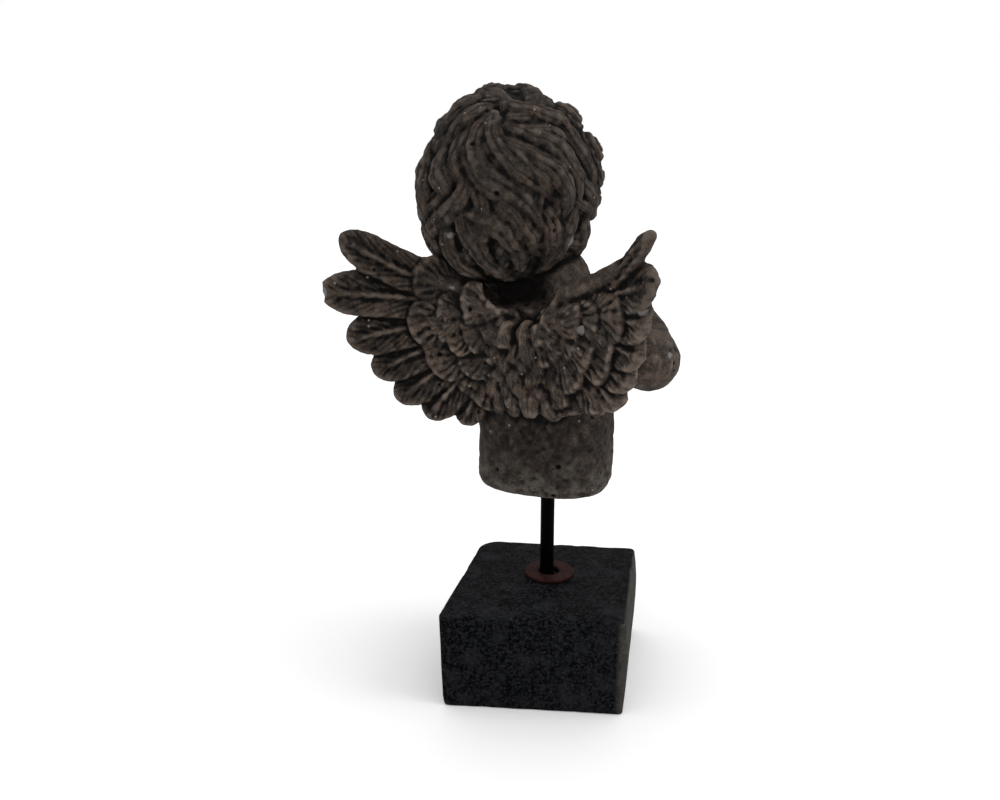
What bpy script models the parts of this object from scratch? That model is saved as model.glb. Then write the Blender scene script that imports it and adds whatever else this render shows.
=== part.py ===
"""Small cast stone bust of a winged child playing the violin, on a steel rod in a granite block.

World frame: metres, +Z up, origin at the middle of the block's underside, the figure facing -Y.
The bust is one casting. It is drawn in figure units, about a millimetre each, with x to the
figure's right, y forward and z up from a level a little above the cut underside of the stump.
"""
import math

import bmesh
import bpy
import numpy as np
from mathutils import Matrix, Vector

# Block: a cut granite cube whose sides are not quite square
BLOCK_WIDTH = 0.061
BLOCK_DEPTH = 0.064
BLOCK_HEIGHT = 0.0345
BLOCK_EDGE = 0.0008
BLOCK_TAPER = 0.0008
CORNER_RADIUS = 0.0015
WORN_CORNER_RADIUS = 0.008
SIDE_SLANT = math.radians(3.8)
BACK_SLANT = math.radians(5.0)
FRONT_SLANT = math.radians(2.2)

# Rod, and the blind holes that hold it
ROD_DIAMETER = 0.005
ROD_VISIBLE = 0.0355
ROD_IN_BLOCK = 0.018
ROD_IN_BUST = 0.020
ROD_FORWARD = 0.0045
HOLE_CLEARANCE = 0.0003

# Washer, loose on the rod and pushed to one side
WASHER_DIAMETER = 0.018
WASHER_THICKNESS = 0.0012
WASHER_PLAY = 0.0012
WASHER_SLID_TO = math.radians(189)
SEAT_GAP = 0.0003

# Bust
BUST_HEIGHT = 0.1385
BUST_TURN = math.radians(159)
FOOT_LEVEL = -3.0
CROWN_LEVEL = 135.5
UNIT = BUST_HEIGHT / (CROWN_LEVEL - FOOT_LEVEL)
FORM_GRAIN = 1.15
BUST_TRIANGLES = 8400
HOLE_SIDES = 32
WASHER_SIDES = 48

ROD_AXIS = (0.0, -ROD_FORWARD)
BUST_BASE = BLOCK_HEIGHT + ROD_VISIBLE
HOLE_RADIUS = ROD_DIAMETER / 2 + HOLE_CLEARANCE

# Wings, in figure units: two upright sheets that curve back from roots beside the spine
WING_ROOT = (5.0, -16.0, 61.0)
WING_SPAN = 70.0
SWEEP_AT_ROOT = math.radians(5)
SWEEP_AT_TIP = math.radians(60)
# Flight feathers as (length, degrees above level, width), from the top one down
LEFT_FLIGHT = ((63.0, 22, 13), (65.8, 5.5, 15), (58.0, -10, 15), (53.5, -24, 14.5), (52.5, -38, 14),
               (49.5, -51, 14), (45.0, -65, 13), (38.5, -80, 13))
RIGHT_FLIGHT = ((54.5, 32, 8.5), (55.5, 17, 15), (46.5, 4, 15), (44, -10, 14), (42, -24, 13),
                (41.5, -37, 13), (38.0, -51, 12), (34.5, -67, 12), (33.5, -84, 12))
# Rows of covert feathers as (length, width, count, lift off the sheet), from the outer row in
COVERT_ROWS = ((36.0, 14.0, 6, 1.9), (27.0, 11.5, 6, 3.3), (18.5, 10.0, 6, 4.5), (11.0, 9.0, 5, 5.4))
LEFT_FAN = (20.0, -84.0)
RIGHT_FAN = (27.0, -84.0)
SHEET_LIFT = -1.6
FLIGHT_THICKNESS, COVERT_THICKNESS = 4.4, 4.2
FEATHER_TILT = 0.9
TOP_FEATHER_BOW = 3.0
LEADING_EDGE_BALLS, LEADING_EDGE_RADIUS = 6, 5.0

# Torso, in figure units, as rows of (height, centre x, centre y, half width, half depth), and its turn
TORSO = ((-3.0, -0.9, -0.5, 21.0, 14.6), (-2.2, -0.9, -0.5, 22.4, 16.2), (0.5, -0.9, -0.5, 23.3, 17.6),
         (28.0, -0.9, -0.5, 23.5, 17.6), (40.0, 0, 1.0, 25.5, 18.6), (51.0, -0.5, 1.0, 26.0, 18.0),
         (58.0, -2, -0.5, 24.0, 15.5), (63.0, -5, -0.5, 18.5, 12.5), (69.0, -9, 0, 12.5, 11.5),
         (84.0, -13, 0, 12.0, 11.0))
TORSO_TURN_HEIGHTS, TORSO_TURNS = (0, 30, 45), (12, 10, 0)
TORSO_SQUARENESS = 0.8

# Head, in figure units: centre, half sizes, lean to the figure's left and turn
HEAD_CENTRE = (-16.3, -1.2, 99.6)
SKULL = (25.3, 25.5, 28.8)
NARROWER_ABOVE = 0.14
HEAD_LEAN = math.radians(-8)
HEAD_TURN = math.radians(2)
FACE_AXIS = Vector((0.0, 0.97, -0.24)).normalized()
HAIR_DEPTH = 3.0
BROW_HAIRLINE = math.radians(55)
CHEEK_HAIRLINE = math.radians(70)
CROWN = Vector((0.30, -0.62, 0.72)).normalized()
DOWN_THE_BACK = Vector((0, -0.72, -0.62))
LOCKS = 24
LOCK_RADIUS = 3.6
# Layers of locks as (angle from the crown where they start, and end, radius, lift, offset in lock widths)
LOCK_LAYERS = ((0.16, 2.45, LOCK_RADIUS, 0.2, 0.0), (0.95, 2.40, LOCK_RADIUS * 0.8, -1.7, 0.5))
CURLS = 10
CURL_RADIUS = 5.2
# Swellings of the face as (direction in the head's axes, size, spread in radians): those on its middle
# line, which are chin, forehead, nose, bridge, lips and the groove below them, and one side's cheek,
# socket, eye, brow and the hollow beside the mouth
MIDDLE_SWELLINGS = (((0.0, 1.0, -0.78), 3.2, 0.19), ((0.0, 1.0, 0.40), 1.4, 0.30),
                    ((0.0, 1.0, -0.14), 4.4, 0.10), ((0.0, 1.0, 0.03), 2.2, 0.08),
                    ((0.0, 1.0, -0.42), 2.3, 0.09), ((0.0, 1.0, -0.60), -1.4, 0.07))
SIDE_SWELLINGS = (((0.44, 0.9, -0.32), 3.0, 0.24), ((0.33, 1.0, 0.08), -3.4, 0.14),
                  ((0.33, 1.0, 0.05), 2.3, 0.085), ((0.32, 1.0, 0.28), 0.9, 0.12),
                  ((0.19, 1.0, -0.46), -1.2, 0.055))

# Arms, hands, violin and bow, in figure units
RIGHT_ARM = ((19, -5, 55), (30, -2, 49), (34, 7, 44.5), (28, 20, 49), (20, 31, 55))
LEFT_ARM = ((-20, -3, 54), (-29, 6, 47), (-32, 17, 44), (-33, 32, 48), (-33, 44, 55))
ARM_RADII = (10.0, 9.8, 9.8, 7.8, 5.2)
SHOULDERS = ((19, -4, 55), (-20, -3, 54))
SHOULDER_RADII = (11.0, 11.5, 9.5)
ELBOW, ELBOW_RADII = (34.0, 6.0, 44.5), (9.6, 11.0, 9.8)
PALM_RADII = (5.2, 5.6, 4.6)
WRIST_RADIUS = 5.0
FINGER_RADII = (2.2, 2.1, 1.9, 1.6)
# Each hand as (palm, knuckles, reach of a finger, step to the next finger, curl of its end)
RIGHT_HAND = ((17.5, 34.5, 58), (15, 36.5, 60), (-1.5, 3.0, -1.5), (2.4, 0.4, -0.8), (0.5, -0.5, -3.0))
LEFT_HAND = ((-33.5, 48, 57.5), (-37, 48.5, 61), (1.0, 0.5, 3.2), (-1.4, 2.1, -0.3), (2.6, 1.2, 1.0))
VIOLIN_TAIL = Vector((-9, 15, 69.5))
VIOLIN_SCROLL = Vector((-38, 55, 62))
VIOLIN_FRONT = Vector((-0.25, 0.1, 1.0))
VIOLIN_BODY = 32.0
VIOLIN_WIDTH = 19.0
VIOLIN_DEPTH = 6.0
NECK_RADIUS, STRINGS_RADIUS, BRIDGE_RADIUS = 2.3, 1.5, 1.1
SCROLL_RADII = (3.2, 3.6, 3.2)
BOW_HEEL = Vector((20, 35, 58.5))
BOW_TIP = Vector((-40, 23, 78))
BOW_RISE = Vector((0, 0.8, 0.8))
BOW_RADII = (1.7, 1.6, 1.5)
# Stone left between the limbs, as (centre, radii)
FILLINGS = (((10, 11, 47), (12, 8.5, 9)), ((-10, 11, 47), (12, 8.5, 9)), ((20, 10, 45), (14, 14, 11)),
            ((-20, 12, 45), (13, 15, 11)), ((-2, 10, 57), (19, 12, 9)), ((-14, 22, 61), (10, 12, 5)),
            ((-28, 38, 55), (6, 10, 5)), ((-4, -6, 66), (13, 9, 8)))

# Colour and roughness of each piece
GRANITE = ((0.020, 0.020, 0.021), 0.35)
BLACK_STEEL = ((0.008, 0.007, 0.007), 0.45)
RUSTED_STEEL = ((0.030, 0.013, 0.011), 0.6)
CAST_STONE = ((0.045, 0.038, 0.034), 0.85)


def named_material(name, colour, roughness, metallic=0.0):
    """A Principled material in one colour."""
    material = bpy.data.materials.new(name)
    material.use_nodes = True
    shader = material.node_tree.nodes["Principled BSDF"]
    shader.inputs["Base Color"].default_value = (*colour, 1.0)
    shader.inputs["Roughness"].default_value = roughness
    shader.inputs["Metallic"].default_value = metallic
    material.diffuse_color = (*colour, 1.0)
    return material


def add_object(name, mesh, collection, material=None):
    """Put a mesh in a collection as one named object."""
    obj = bpy.data.objects.new(name, mesh)
    collection.objects.link(obj)
    if material:
        mesh.materials.append(material)
    return obj


def mesh_from(bm, name):
    """Close a bmesh into mesh data with its faces pointing out."""
    bmesh.ops.recalc_face_normals(bm, faces=bm.faces[:])
    mesh = bpy.data.meshes.new(name)
    bm.to_mesh(mesh)
    bm.free()
    return mesh


def smooth_shade(mesh, angle=math.radians(35)):
    """Smooth shading with creases kept sharp."""
    mesh.shade_smooth()
    mesh.set_sharp_from_angle(angle=angle)


def drill(obj, name, radius, low, high, cutters):
    """Cut an upright round hole on the rod's axis from height low to height high."""
    bm = bmesh.new()
    bmesh.ops.create_cone(bm, cap_ends=True, segments=HOLE_SIDES, radius1=radius, radius2=radius,
                          depth=high - low)
    cutter = add_object(name, mesh_from(bm, name), cutters)
    cutter.location = (*ROD_AXIS, (low + high) / 2)
    cutter.hide_render = True
    cutter.display_type = "WIRE"
    cut = obj.modifiers.new("rod hole", "BOOLEAN")
    cut.operation = "DIFFERENCE"
    cut.solver = "EXACT"
    cut.object = cutter


def corner_arc(corner, before, after, radius, steps):
    """Points of the arc that rounds one corner of a plan outline."""
    corner, before, after = Vector(corner), Vector(before), Vector(after)
    back = (before - corner).normalized()
    ahead = (after - corner).normalized()
    half = back.angle(ahead) / 2
    centre = corner + (back + ahead).normalized() * radius / math.sin(half)
    start = corner + back * radius / math.tan(half) - centre
    sweep = math.pi - 2 * half
    return [centre + Matrix.Rotation(sweep * k / steps, 2) @ start for k in range(steps + 1)]


def block_outline(inset):
    """Plan of the block: a four-sided outline, each side slanted, with rounded corners."""
    x, y = BLOCK_WIDTH / 2 - inset, BLOCK_DEPTH / 2 - inset
    lean = y * math.sin(SIDE_SLANT)
    back, front = x * math.tan(BACK_SLANT), x * math.tan(FRONT_SLANT)
    corners = [(x + lean, y + back / 2), (-x + lean / 2, y - back),
               (-x - lean / 2, -y - front / 2), (x - lean, -y + front)]
    outline = []
    for k, corner in enumerate(corners):
        worn = k == len(corners) - 1
        radius = (WORN_CORNER_RADIUS if worn else CORNER_RADIUS) - inset * 0.5
        outline += corner_arc(corner, corners[k - 1], corners[(k + 1) % 4], radius, 8 if worn else 3)
    return outline


def make_block(parts, cutters):
    """The block as a loft of its plan, narrower below, with eased edges at the bottom and the top."""
    levels = ((0.0, BLOCK_TAPER + BLOCK_EDGE), (BLOCK_EDGE, BLOCK_TAPER),
              (BLOCK_HEIGHT - BLOCK_EDGE, 0.0), (BLOCK_HEIGHT, BLOCK_EDGE))
    bm = bmesh.new()
    rings = [[bm.verts.new((p.x, p.y, z)) for p in block_outline(inset)] for z, inset in levels]
    join_rings(bm, rings)
    block = add_object("block", mesh_from(bm, "block"), parts,
                       named_material("dark granite", *GRANITE))
    smooth_shade(block.data)
    floor_of_hole = BLOCK_HEIGHT - ROD_IN_BLOCK - HOLE_CLEARANCE
    drill(block, "block hole cutter", HOLE_RADIUS, floor_of_hole, BLOCK_HEIGHT + BLOCK_EDGE, cutters)
    return block


def join_rings(bm, rings):
    """Skin a stack of equal rings and close both ends with one face each."""
    count = len(rings[0])
    for lower, upper in zip(rings, rings[1:]):
        for k in range(count):
            bm.faces.new((lower[k], lower[(k + 1) % count], upper[(k + 1) % count], upper[k]))
    bm.faces.new(rings[0][::-1])
    bm.faces.new(rings[-1])


def make_rod(parts):
    """The steel rod from the bottom of its hole in the block to the top of its hole in the bust."""
    length = ROD_IN_BLOCK + ROD_VISIBLE + ROD_IN_BUST
    bm = bmesh.new()
    bmesh.ops.create_cone(bm, cap_ends=True, segments=HOLE_SIDES, radius1=ROD_DIAMETER / 2,
                          radius2=ROD_DIAMETER / 2, depth=length)
    rod = add_object("rod", mesh_from(bm, "rod"), parts,
                     named_material("black steel", *BLACK_STEEL, 1.0))
    rod.location = (*ROD_AXIS, BLOCK_HEIGHT - ROD_IN_BLOCK + length / 2)
    smooth_shade(rod.data)
    return rod


def make_washer(parts):
    """The washer as a turned ring with a worn outer edge, lying on the block."""
    inner, outer = ROD_DIAMETER / 2 + WASHER_PLAY, WASHER_DIAMETER / 2
    top, worn = WASHER_THICKNESS, WASHER_THICKNESS * 0.25
    profile = ((inner, top), (outer - worn, top), (outer, top - worn), (outer, worn),
               (outer - worn, 0.0), (inner, 0.0))
    bm = bmesh.new()
    ring = [bm.verts.new((radius, 0.0, height)) for radius, height in profile]
    for k, vert in enumerate(ring):
        bm.edges.new((vert, ring[(k + 1) % len(ring)]))
    mesh = bpy.data.meshes.new("washer")
    bm.to_mesh(mesh)
    bm.free()
    washer = add_object("washer", mesh, parts, named_material("rusted washer", *RUSTED_STEEL))
    turn = washer.modifiers.new("turn", "SCREW")
    turn.steps = WASHER_SIDES
    turn.render_steps = WASHER_SIDES
    turn.use_merge_vertices = True
    turn.merge_threshold = 0.00001
    turn.use_smooth_shade = True
    slide = WASHER_PLAY - HOLE_CLEARANCE
    washer.location = (ROD_AXIS[0] + slide * math.cos(WASHER_SLID_TO),
                       ROD_AXIS[1] + slide * math.sin(WASHER_SLID_TO), BLOCK_HEIGHT + SEAT_GAP)
    return washer


def ease(value, low, high):
    """Smooth step from 0 at low to 1 at high."""
    t = np.clip((value - low) / (high - low), 0.0, 1.0)
    return t * t * (3 - 2 * t)


def add_ball(bm, centre, radii, turn=None, segments=20, rings=14):
    """An ellipsoid: a sphere scaled, turned and moved."""
    matrix = Matrix.Translation(centre) @ (turn.to_4x4() if turn else Matrix()) @ Matrix.Diagonal((*radii, 1))
    bmesh.ops.create_uvsphere(bm, u_segments=segments, v_segments=rings, radius=1.0, matrix=matrix)


def add_shaped_sphere(bm, shape, segments, rings):
    """A sphere whose points (pole axis z) are sent through a shape function."""
    made = bmesh.ops.create_uvsphere(bm, u_segments=segments, v_segments=rings, radius=1.0)
    for vert in made["verts"]:
        vert.co = shape(np.array(vert.co))


def torso_section(height):
    """Centre, half sizes and turn of the body's oval section at a height in figure units."""
    heights, *columns = zip(*TORSO)
    centre_x, centre_y, half_x, half_y = (np.interp(height, heights, column) for column in columns)
    turn = math.radians(np.interp(height, TORSO_TURN_HEIGHTS, TORSO_TURNS))
    return centre_x, centre_y, half_x, half_y, turn


def add_torso(bm):
    """Stump, chest, shoulders and neck as one loft of slightly squared ovals."""
    heights = np.r_[FOOT_LEVEL, -2.2, -1.0, 0.5, np.arange(4.0, 84.1, 4.0)]
    angles = np.linspace(0, 2 * math.pi, 48, endpoint=False)
    rings = []
    for height in heights:
        cx, cy, half_x, half_y, turn = torso_section(height)
        cos, sin = np.cos(angles), np.sin(angles)
        x = half_x * np.sign(cos) * np.abs(cos) ** TORSO_SQUARENESS
        y = half_y * np.sign(sin) * np.abs(sin) ** TORSO_SQUARENESS
        placed_x = cx + x * math.cos(turn) - y * math.sin(turn)
        placed_y = cy + x * math.sin(turn) + y * math.cos(turn)
        rings.append([bm.verts.new((px, py, height)) for px, py in zip(placed_x, placed_y)])
    join_rings(bm, rings)


def wing_point(side, run, height, lift):
    """Place a wing point: run along the curved sheet, height, and lift off its rear face.

    The sheet's plan is a circular arc, so its direction turns evenly from the root to the tip.
    """
    bend = (SWEEP_AT_TIP - SWEEP_AT_ROOT) / WING_SPAN
    angle = SWEEP_AT_ROOT + bend * run
    out = (math.sin(angle) - math.sin(SWEEP_AT_ROOT)) / bend
    back = (math.cos(SWEEP_AT_ROOT) - math.cos(angle)) / bend
    x = WING_ROOT[0] + out - lift * math.sin(angle)
    y = WING_ROOT[1] - back - lift * math.cos(angle)
    return Vector((side * x, y, height))


def feather_width(t):
    """Share of a feather's width along its length: narrow quill end, full vane, round tip."""
    vane = 0.42 + 0.58 * ease(t, 0.0, 0.62)
    tip = np.sqrt(np.clip(1 - ((t - 0.80) / 0.20) ** 2, 0.0, 1.0)) if t > 0.80 else 1.0
    butt = min(1.0, math.sqrt(t / 0.05))
    return vane * tip * butt


def add_feather(bm, side, length, degrees, width, lift, thickness, start=0.0, bow=0.0):
    """One blade on the wing sheet, fanned from the root, bowed downwards by bow at its middle."""
    angle = math.radians(degrees)

    def shape(point):
        t = math.acos(max(-1.0, min(1.0, point[2]))) / math.pi
        ring = math.hypot(point[0], point[1])
        across, through = (point[0] / ring, point[1] / ring) if ring > 1e-6 else (0.0, 0.0)
        half = width / 2 * feather_width(t)
        along = start + (length - start) * t
        side_step = half * across - bow * math.sin(math.pi * t)
        run = along * math.cos(angle) - side_step * math.sin(angle)
        height = WING_ROOT[2] + along * math.sin(angle) + side_step * math.cos(angle)
        tilt = -FEATHER_TILT * across * feather_width(t)
        crown = thickness / 2 * through * min(1.0, math.sqrt(max(half, 0.0) / 2.0))
        return wing_point(side, run, height, lift + tilt + crown)

    add_shaped_sphere(bm, shape, 14, 18)


def add_wing(bm, side, flight, fan):
    """A wing: flight feathers, covert rows over them and the rounded leading edge."""
    for k, (length, degrees, width) in enumerate(flight):
        bow = TOP_FEATHER_BOW if k == 0 else 0.0
        add_feather(bm, side, length, degrees, width, SHEET_LIFT, FLIGHT_THICKNESS, bow=bow)
    for row, (length, width, count, lift) in enumerate(COVERT_ROWS):
        for k in range(count):
            share = (k + 0.5 * (row % 2)) / (count - 0.5)
            degrees = fan[0] + (fan[1] - fan[0]) * share
            add_feather(bm, side, length, degrees, width, lift + SHEET_LIFT, COVERT_THICKNESS,
                        start=length * 0.25)
    angle = math.radians(flight[0][1] - 3)
    for step in range(LEADING_EDGE_BALLS):
        along = 5 + 6.0 * step
        centre = wing_point(side, along * math.cos(angle), WING_ROOT[2] + along * math.sin(angle), -0.8)
        radius = LEADING_EDGE_RADIUS - 0.5 * step
        add_ball(bm, centre, (radius, radius, radius), segments=14, rings=10)


def head_frame():
    """Rotation from the head's own axes (right, front, up) to the figure's."""
    return Matrix.Rotation(HEAD_TURN, 3, "Z") @ Matrix.Rotation(HEAD_LEAN, 3, "Y")


def bump(direction, at, size, spread):
    """A rounded bump on the head: size at the direction at, fading over spread (radians)."""
    at = Vector(at).normalized()
    away = math.acos(max(-1.0, min(1.0, direction.dot(at))))
    return size * math.exp(-0.5 * (away / spread) ** 2)


def hairline(direction):
    """Angle from the face's axis at which the hair starts: further back beside the cheeks."""
    return float(BROW_HAIRLINE + (CHEEK_HAIRLINE - BROW_HAIRLINE) * ease(-direction.z, 0.22, 0.42))


def head_radius(direction):
    """Distance from the head's centre to its skin or hair cap in a direction (head axes).

    An ellipsoid with a generic child's face set out on plain proportions.
    """
    d = direction
    narrow = 1.0 - NARROWER_ABOVE * d.z
    base = 1.0 / math.sqrt((d.x / SKULL[0] / narrow) ** 2 + (d.y / SKULL[1] / narrow) ** 2
                           + (d.z / SKULL[2]) ** 2)
    face = sum(bump(d, at, size, spread) for at, size, spread in MIDDLE_SWELLINGS)
    for (x, y, z), size, spread in SIDE_SWELLINGS:
        face += bump(d, (x, y, z), size, spread) + bump(d, (-x, y, z), size, spread)
    edge = hairline(d)
    cap = HAIR_DEPTH * float(ease(d.angle(FACE_AXIS), edge - 0.06, edge + 0.10))
    chin_side = float(ease(d.y, -0.1, 0.3)) * float(ease(-d.z, 0.62, 0.80))
    return base + face + cap * (1 - chin_side)


def head_point(direction, lift=0.0):
    """Figure position of the head's surface in a direction, raised by lift."""
    direction = direction.normalized()
    return Vector(HEAD_CENTRE) + head_frame() @ (direction * (head_radius(direction) + lift))


def crown_direction(polar, azimuth):
    """Direction at an angle from the crown of the hair, at an azimuth around it (head axes).

    Azimuth 0 runs down the back of the head and grows towards the figure's right.
    """
    down = (DOWN_THE_BACK - CROWN * CROWN.dot(DOWN_THE_BACK)).normalized()
    right = down.cross(CROWN).normalized()
    if right.x < 0:
        right = -right
    around = down * math.cos(azimuth) + right * math.sin(azimuth)
    return CROWN * math.cos(polar) + around * math.sin(polar)


def lock_path(azimuth, start, end, swing, count):
    """A wavy lock running away from the crown: directions, with shares along the lock."""
    path = []
    for k in range(count):
        t = k / (count - 1)
        polar = start + (end - start) * t
        wave = swing * math.sin(2.4 * math.pi * t * (end - start) / 2.2 - 0.7)
        path.append((crown_direction(polar, azimuth + wave / max(math.sin(polar), 0.35)), t))
    return path


def hair_ends(direction):
    """True where no hair grows: on the face, and under the head."""
    return direction.angle(FACE_AXIS) < hairline(direction) or direction.z < -0.95


def head_locks():
    """Every lock as a list of (point, radius), in figure units."""
    locks = []
    for start, end, radius, level, share in LOCK_LAYERS:
        for k in range(LOCKS):
            azimuth = 2 * math.pi * (k + share) / LOCKS
            swing = 0.24 + 0.05 * math.sin(5 * azimuth)
            lock = []
            for direction, t in lock_path(azimuth, start + 0.1 * (k % 3), end, swing, 24):
                if hair_ends(direction):
                    break
                swell = 0.55 + 0.45 * math.sin(math.pi * min(1.0, 0.15 + t))
                lift = level + 0.5 * math.sin(3 * azimuth + 7 * t)
                lock.append((head_point(direction, lift), radius * swell))
            if len(lock) > 3:
                locks.append(lock)
    return locks


def add_curls(bm):
    """Short curls around the face, from the forehead down to the ears."""
    side = Vector((1.0, 0.0, 0.0))
    up = side.cross(FACE_AXIS).normalized()
    away = BROW_HAIRLINE + 0.08
    for k in range(CURLS):
        turn = math.radians(-10 + 200 * k / (CURLS - 1))
        around = side * math.cos(turn) + up * math.sin(turn)
        direction = FACE_AXIS * math.cos(away) + around * math.sin(away)
        size = CURL_RADIUS + 0.6 * math.sin(2.3 * k)
        add_ball(bm, head_point(direction, 0.2), (size, size * 0.8, size), segments=14, rings=10)


def add_tubes(bm, tubes):
    """Tubes with a radius at each point: one curve object of filled POLY splines, made a mesh."""
    curve = bpy.data.curves.new("tubes", "CURVE")
    curve.dimensions = "3D"
    curve.bevel_depth = 1.0
    curve.bevel_resolution = 2
    curve.use_fill_caps = True
    for tube in tubes:
        spline = curve.splines.new("POLY")
        spline.points.add(len(tube) - 1)
        for point, (position, radius) in zip(spline.points, tube):
            point.co = (*position, 1.0)
            point.radius = radius
    obj = bpy.data.objects.new("tubes", curve)
    bpy.context.scene.collection.objects.link(obj)
    evaluated = obj.evaluated_get(bpy.context.evaluated_depsgraph_get())
    mesh = bpy.data.meshes.new_from_object(evaluated)
    first = len(bm.verts)
    bm.from_mesh(mesh)
    bm.verts.ensure_lookup_table()
    bmesh.ops.remove_doubles(bm, verts=bm.verts[first:], dist=0.0001)
    bpy.data.objects.remove(obj)
    bpy.data.curves.remove(curve)
    bpy.data.meshes.remove(mesh)


def bend_through(points, radii, count=14):
    """A smooth tube through a few points: Catmull-Rom positions, radii along the way."""
    points = [Vector(p) for p in points]
    ends = [points[0] * 2 - points[1]] + points + [points[-1] * 2 - points[-2]]
    tube = []
    for k in range(count):
        place = (len(points) - 1) * k / (count - 1)
        i = min(int(place), len(points) - 2)
        t = place - i
        p0, p1, p2, p3 = ends[i:i + 4]
        position = 0.5 * ((2 * p1) + (p2 - p0) * t + (2 * p0 - 5 * p1 + 4 * p2 - p3) * t ** 2
                          + (3 * p1 - p0 - 3 * p2 + p3) * t ** 3)
        tube.append((position, float(np.interp(place, range(len(radii)), radii))))
    return tube


def violin_frame():
    """Rotation whose axes run across the violin, along its neck and out of its front."""
    along = (VIOLIN_SCROLL - VIOLIN_TAIL).normalized()
    across = along.cross(VIOLIN_FRONT).normalized()
    out = across.cross(along)
    return Matrix((across, along, out)).transposed()


def violin_half_width(t):
    """Half width of the violin's body along it: lower bout, waist and upper bout."""
    ends = math.sqrt(max(0.0, 1 - (2 * t - 1) ** 8))
    bouts = 0.40 - 0.075 * t - 0.13 * math.exp(-((t - 0.56) / 0.10) ** 2) \
        + 0.10 * math.exp(-((t - 0.26) / 0.20) ** 2) + 0.06 * math.exp(-((t - 0.80) / 0.14) ** 2)
    return VIOLIN_WIDTH * bouts * ends


def add_violin(bm):
    """Violin body as a flat sphere in a violin's outline, with neck, fingerboard, scroll and bridge."""
    frame = violin_frame()

    def place(across, along, out):
        return VIOLIN_TAIL + frame @ Vector((across, along, out))

    def shape(point):
        t = math.acos(max(-1.0, min(1.0, point[2]))) / math.pi
        ring = math.hypot(point[0], point[1])
        across, out = (point[0] / ring, point[1] / ring) if ring > 1e-6 else (0.0, 0.0)
        flat = math.copysign(abs(out) ** 0.6, out) * VIOLIN_DEPTH / 2 * min(1.0, 6 * t, 6 * (1 - t))
        wide = math.copysign(abs(across) ** 0.7, across) * violin_half_width(t)
        return place(wide, VIOLIN_BODY * t, flat)

    add_shaped_sphere(bm, shape, 24, 26)
    length = (VIOLIN_SCROLL - VIOLIN_TAIL).length
    top = VIOLIN_DEPTH / 2
    neck = np.linspace(VIOLIN_BODY - 6, length, 8)
    strings = np.linspace(VIOLIN_BODY * 0.35, length, 8)
    tubes = [[(place(0, along, top * 0.6), NECK_RADIUS) for along in neck],
             [(place(0, along, top + 1.0), STRINGS_RADIUS) for along in strings],
             [(place(across, VIOLIN_BODY * 0.42, top + 0.8), BRIDGE_RADIUS) for across in (-3.5, 0, 3.5)]]
    add_tubes(bm, tubes)
    add_ball(bm, place(0, length, 0.5), SCROLL_RADII, segments=14, rings=10)


def add_hand(bm, wrist, hand):
    """A small closed hand: a palm and four fingers side by side."""
    palm, knuckles, reach, spread, curl = (Vector(v) for v in hand)
    add_ball(bm, palm, PALM_RADII, segments=14, rings=10)
    tubes = [bend_through((wrist, palm), (WRIST_RADIUS, WRIST_RADIUS), 4)]
    for k in range(4):
        root = knuckles + spread * (k - 1.5)
        tubes.append(bend_through((palm, root, root + reach, root + reach + curl), FINGER_RADII, 8))
    add_tubes(bm, tubes)


def add_arms_and_violin(bm):
    """Both arms, the violin under the chin and the bow drawn across its strings."""
    add_tubes(bm, [bend_through(RIGHT_ARM, ARM_RADII, 20), bend_through(LEFT_ARM, ARM_RADII, 20)])
    add_ball(bm, ELBOW, ELBOW_RADII)
    for shoulder in SHOULDERS:
        add_ball(bm, shoulder, SHOULDER_RADII)
    add_violin(bm)
    add_hand(bm, RIGHT_ARM[-1], RIGHT_HAND)
    add_hand(bm, LEFT_ARM[-1], LEFT_HAND)
    middle = (BOW_HEEL + BOW_TIP) / 2 + BOW_RISE
    add_tubes(bm, [bend_through((BOW_HEEL, middle, BOW_TIP), BOW_RADII, 10)])


def add_fillings(bm):
    """Stone left between the limbs, as a caster leaves undercuts filled."""
    for centre, radii in FILLINGS:
        add_ball(bm, centre, radii)


def make_bust(parts, cutters):
    """The casting: overlapping closed forms fused by Remesh, softened, thinned and drilled."""
    bm = bmesh.new()
    add_torso(bm)
    add_wing(bm, -1, LEFT_FLIGHT, LEFT_FAN)
    add_wing(bm, 1, RIGHT_FLIGHT, RIGHT_FAN)
    add_shaped_sphere(bm, lambda p: head_point(Vector(p)), 96, 72)
    add_tubes(bm, head_locks())
    add_curls(bm)
    add_arms_and_violin(bm)
    add_fillings(bm)
    bmesh.ops.scale(bm, vec=(UNIT, UNIT, UNIT), verts=bm.verts[:])
    mesh = bpy.data.meshes.new("bust")
    bm.to_mesh(mesh)
    bm.free()
    bust = add_object("bust", mesh, parts, named_material("dark cast stone", *CAST_STONE))
    bust.location = (*ROD_AXIS, BUST_BASE - FOOT_LEVEL * UNIT)
    bust.rotation_euler = (0, 0, BUST_TURN)
    fuse = bust.modifiers.new("fuse", "REMESH")
    fuse.mode = "VOXEL"
    fuse.voxel_size = FORM_GRAIN * UNIT
    fuse.use_smooth_shade = True
    evaluated = bust.evaluated_get(bpy.context.evaluated_depsgraph_get())
    fused = len(evaluated.to_mesh().loop_triangles)
    evaluated.to_mesh_clear()
    thin = bust.modifiers.new("thin", "DECIMATE")
    thin.ratio = BUST_TRIANGLES / fused
    drill(bust, "bust hole cutter", HOLE_RADIUS, BUST_BASE - 2 * UNIT,
          BUST_BASE + ROD_IN_BUST + HOLE_CLEARANCE, cutters)
    return bust


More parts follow.
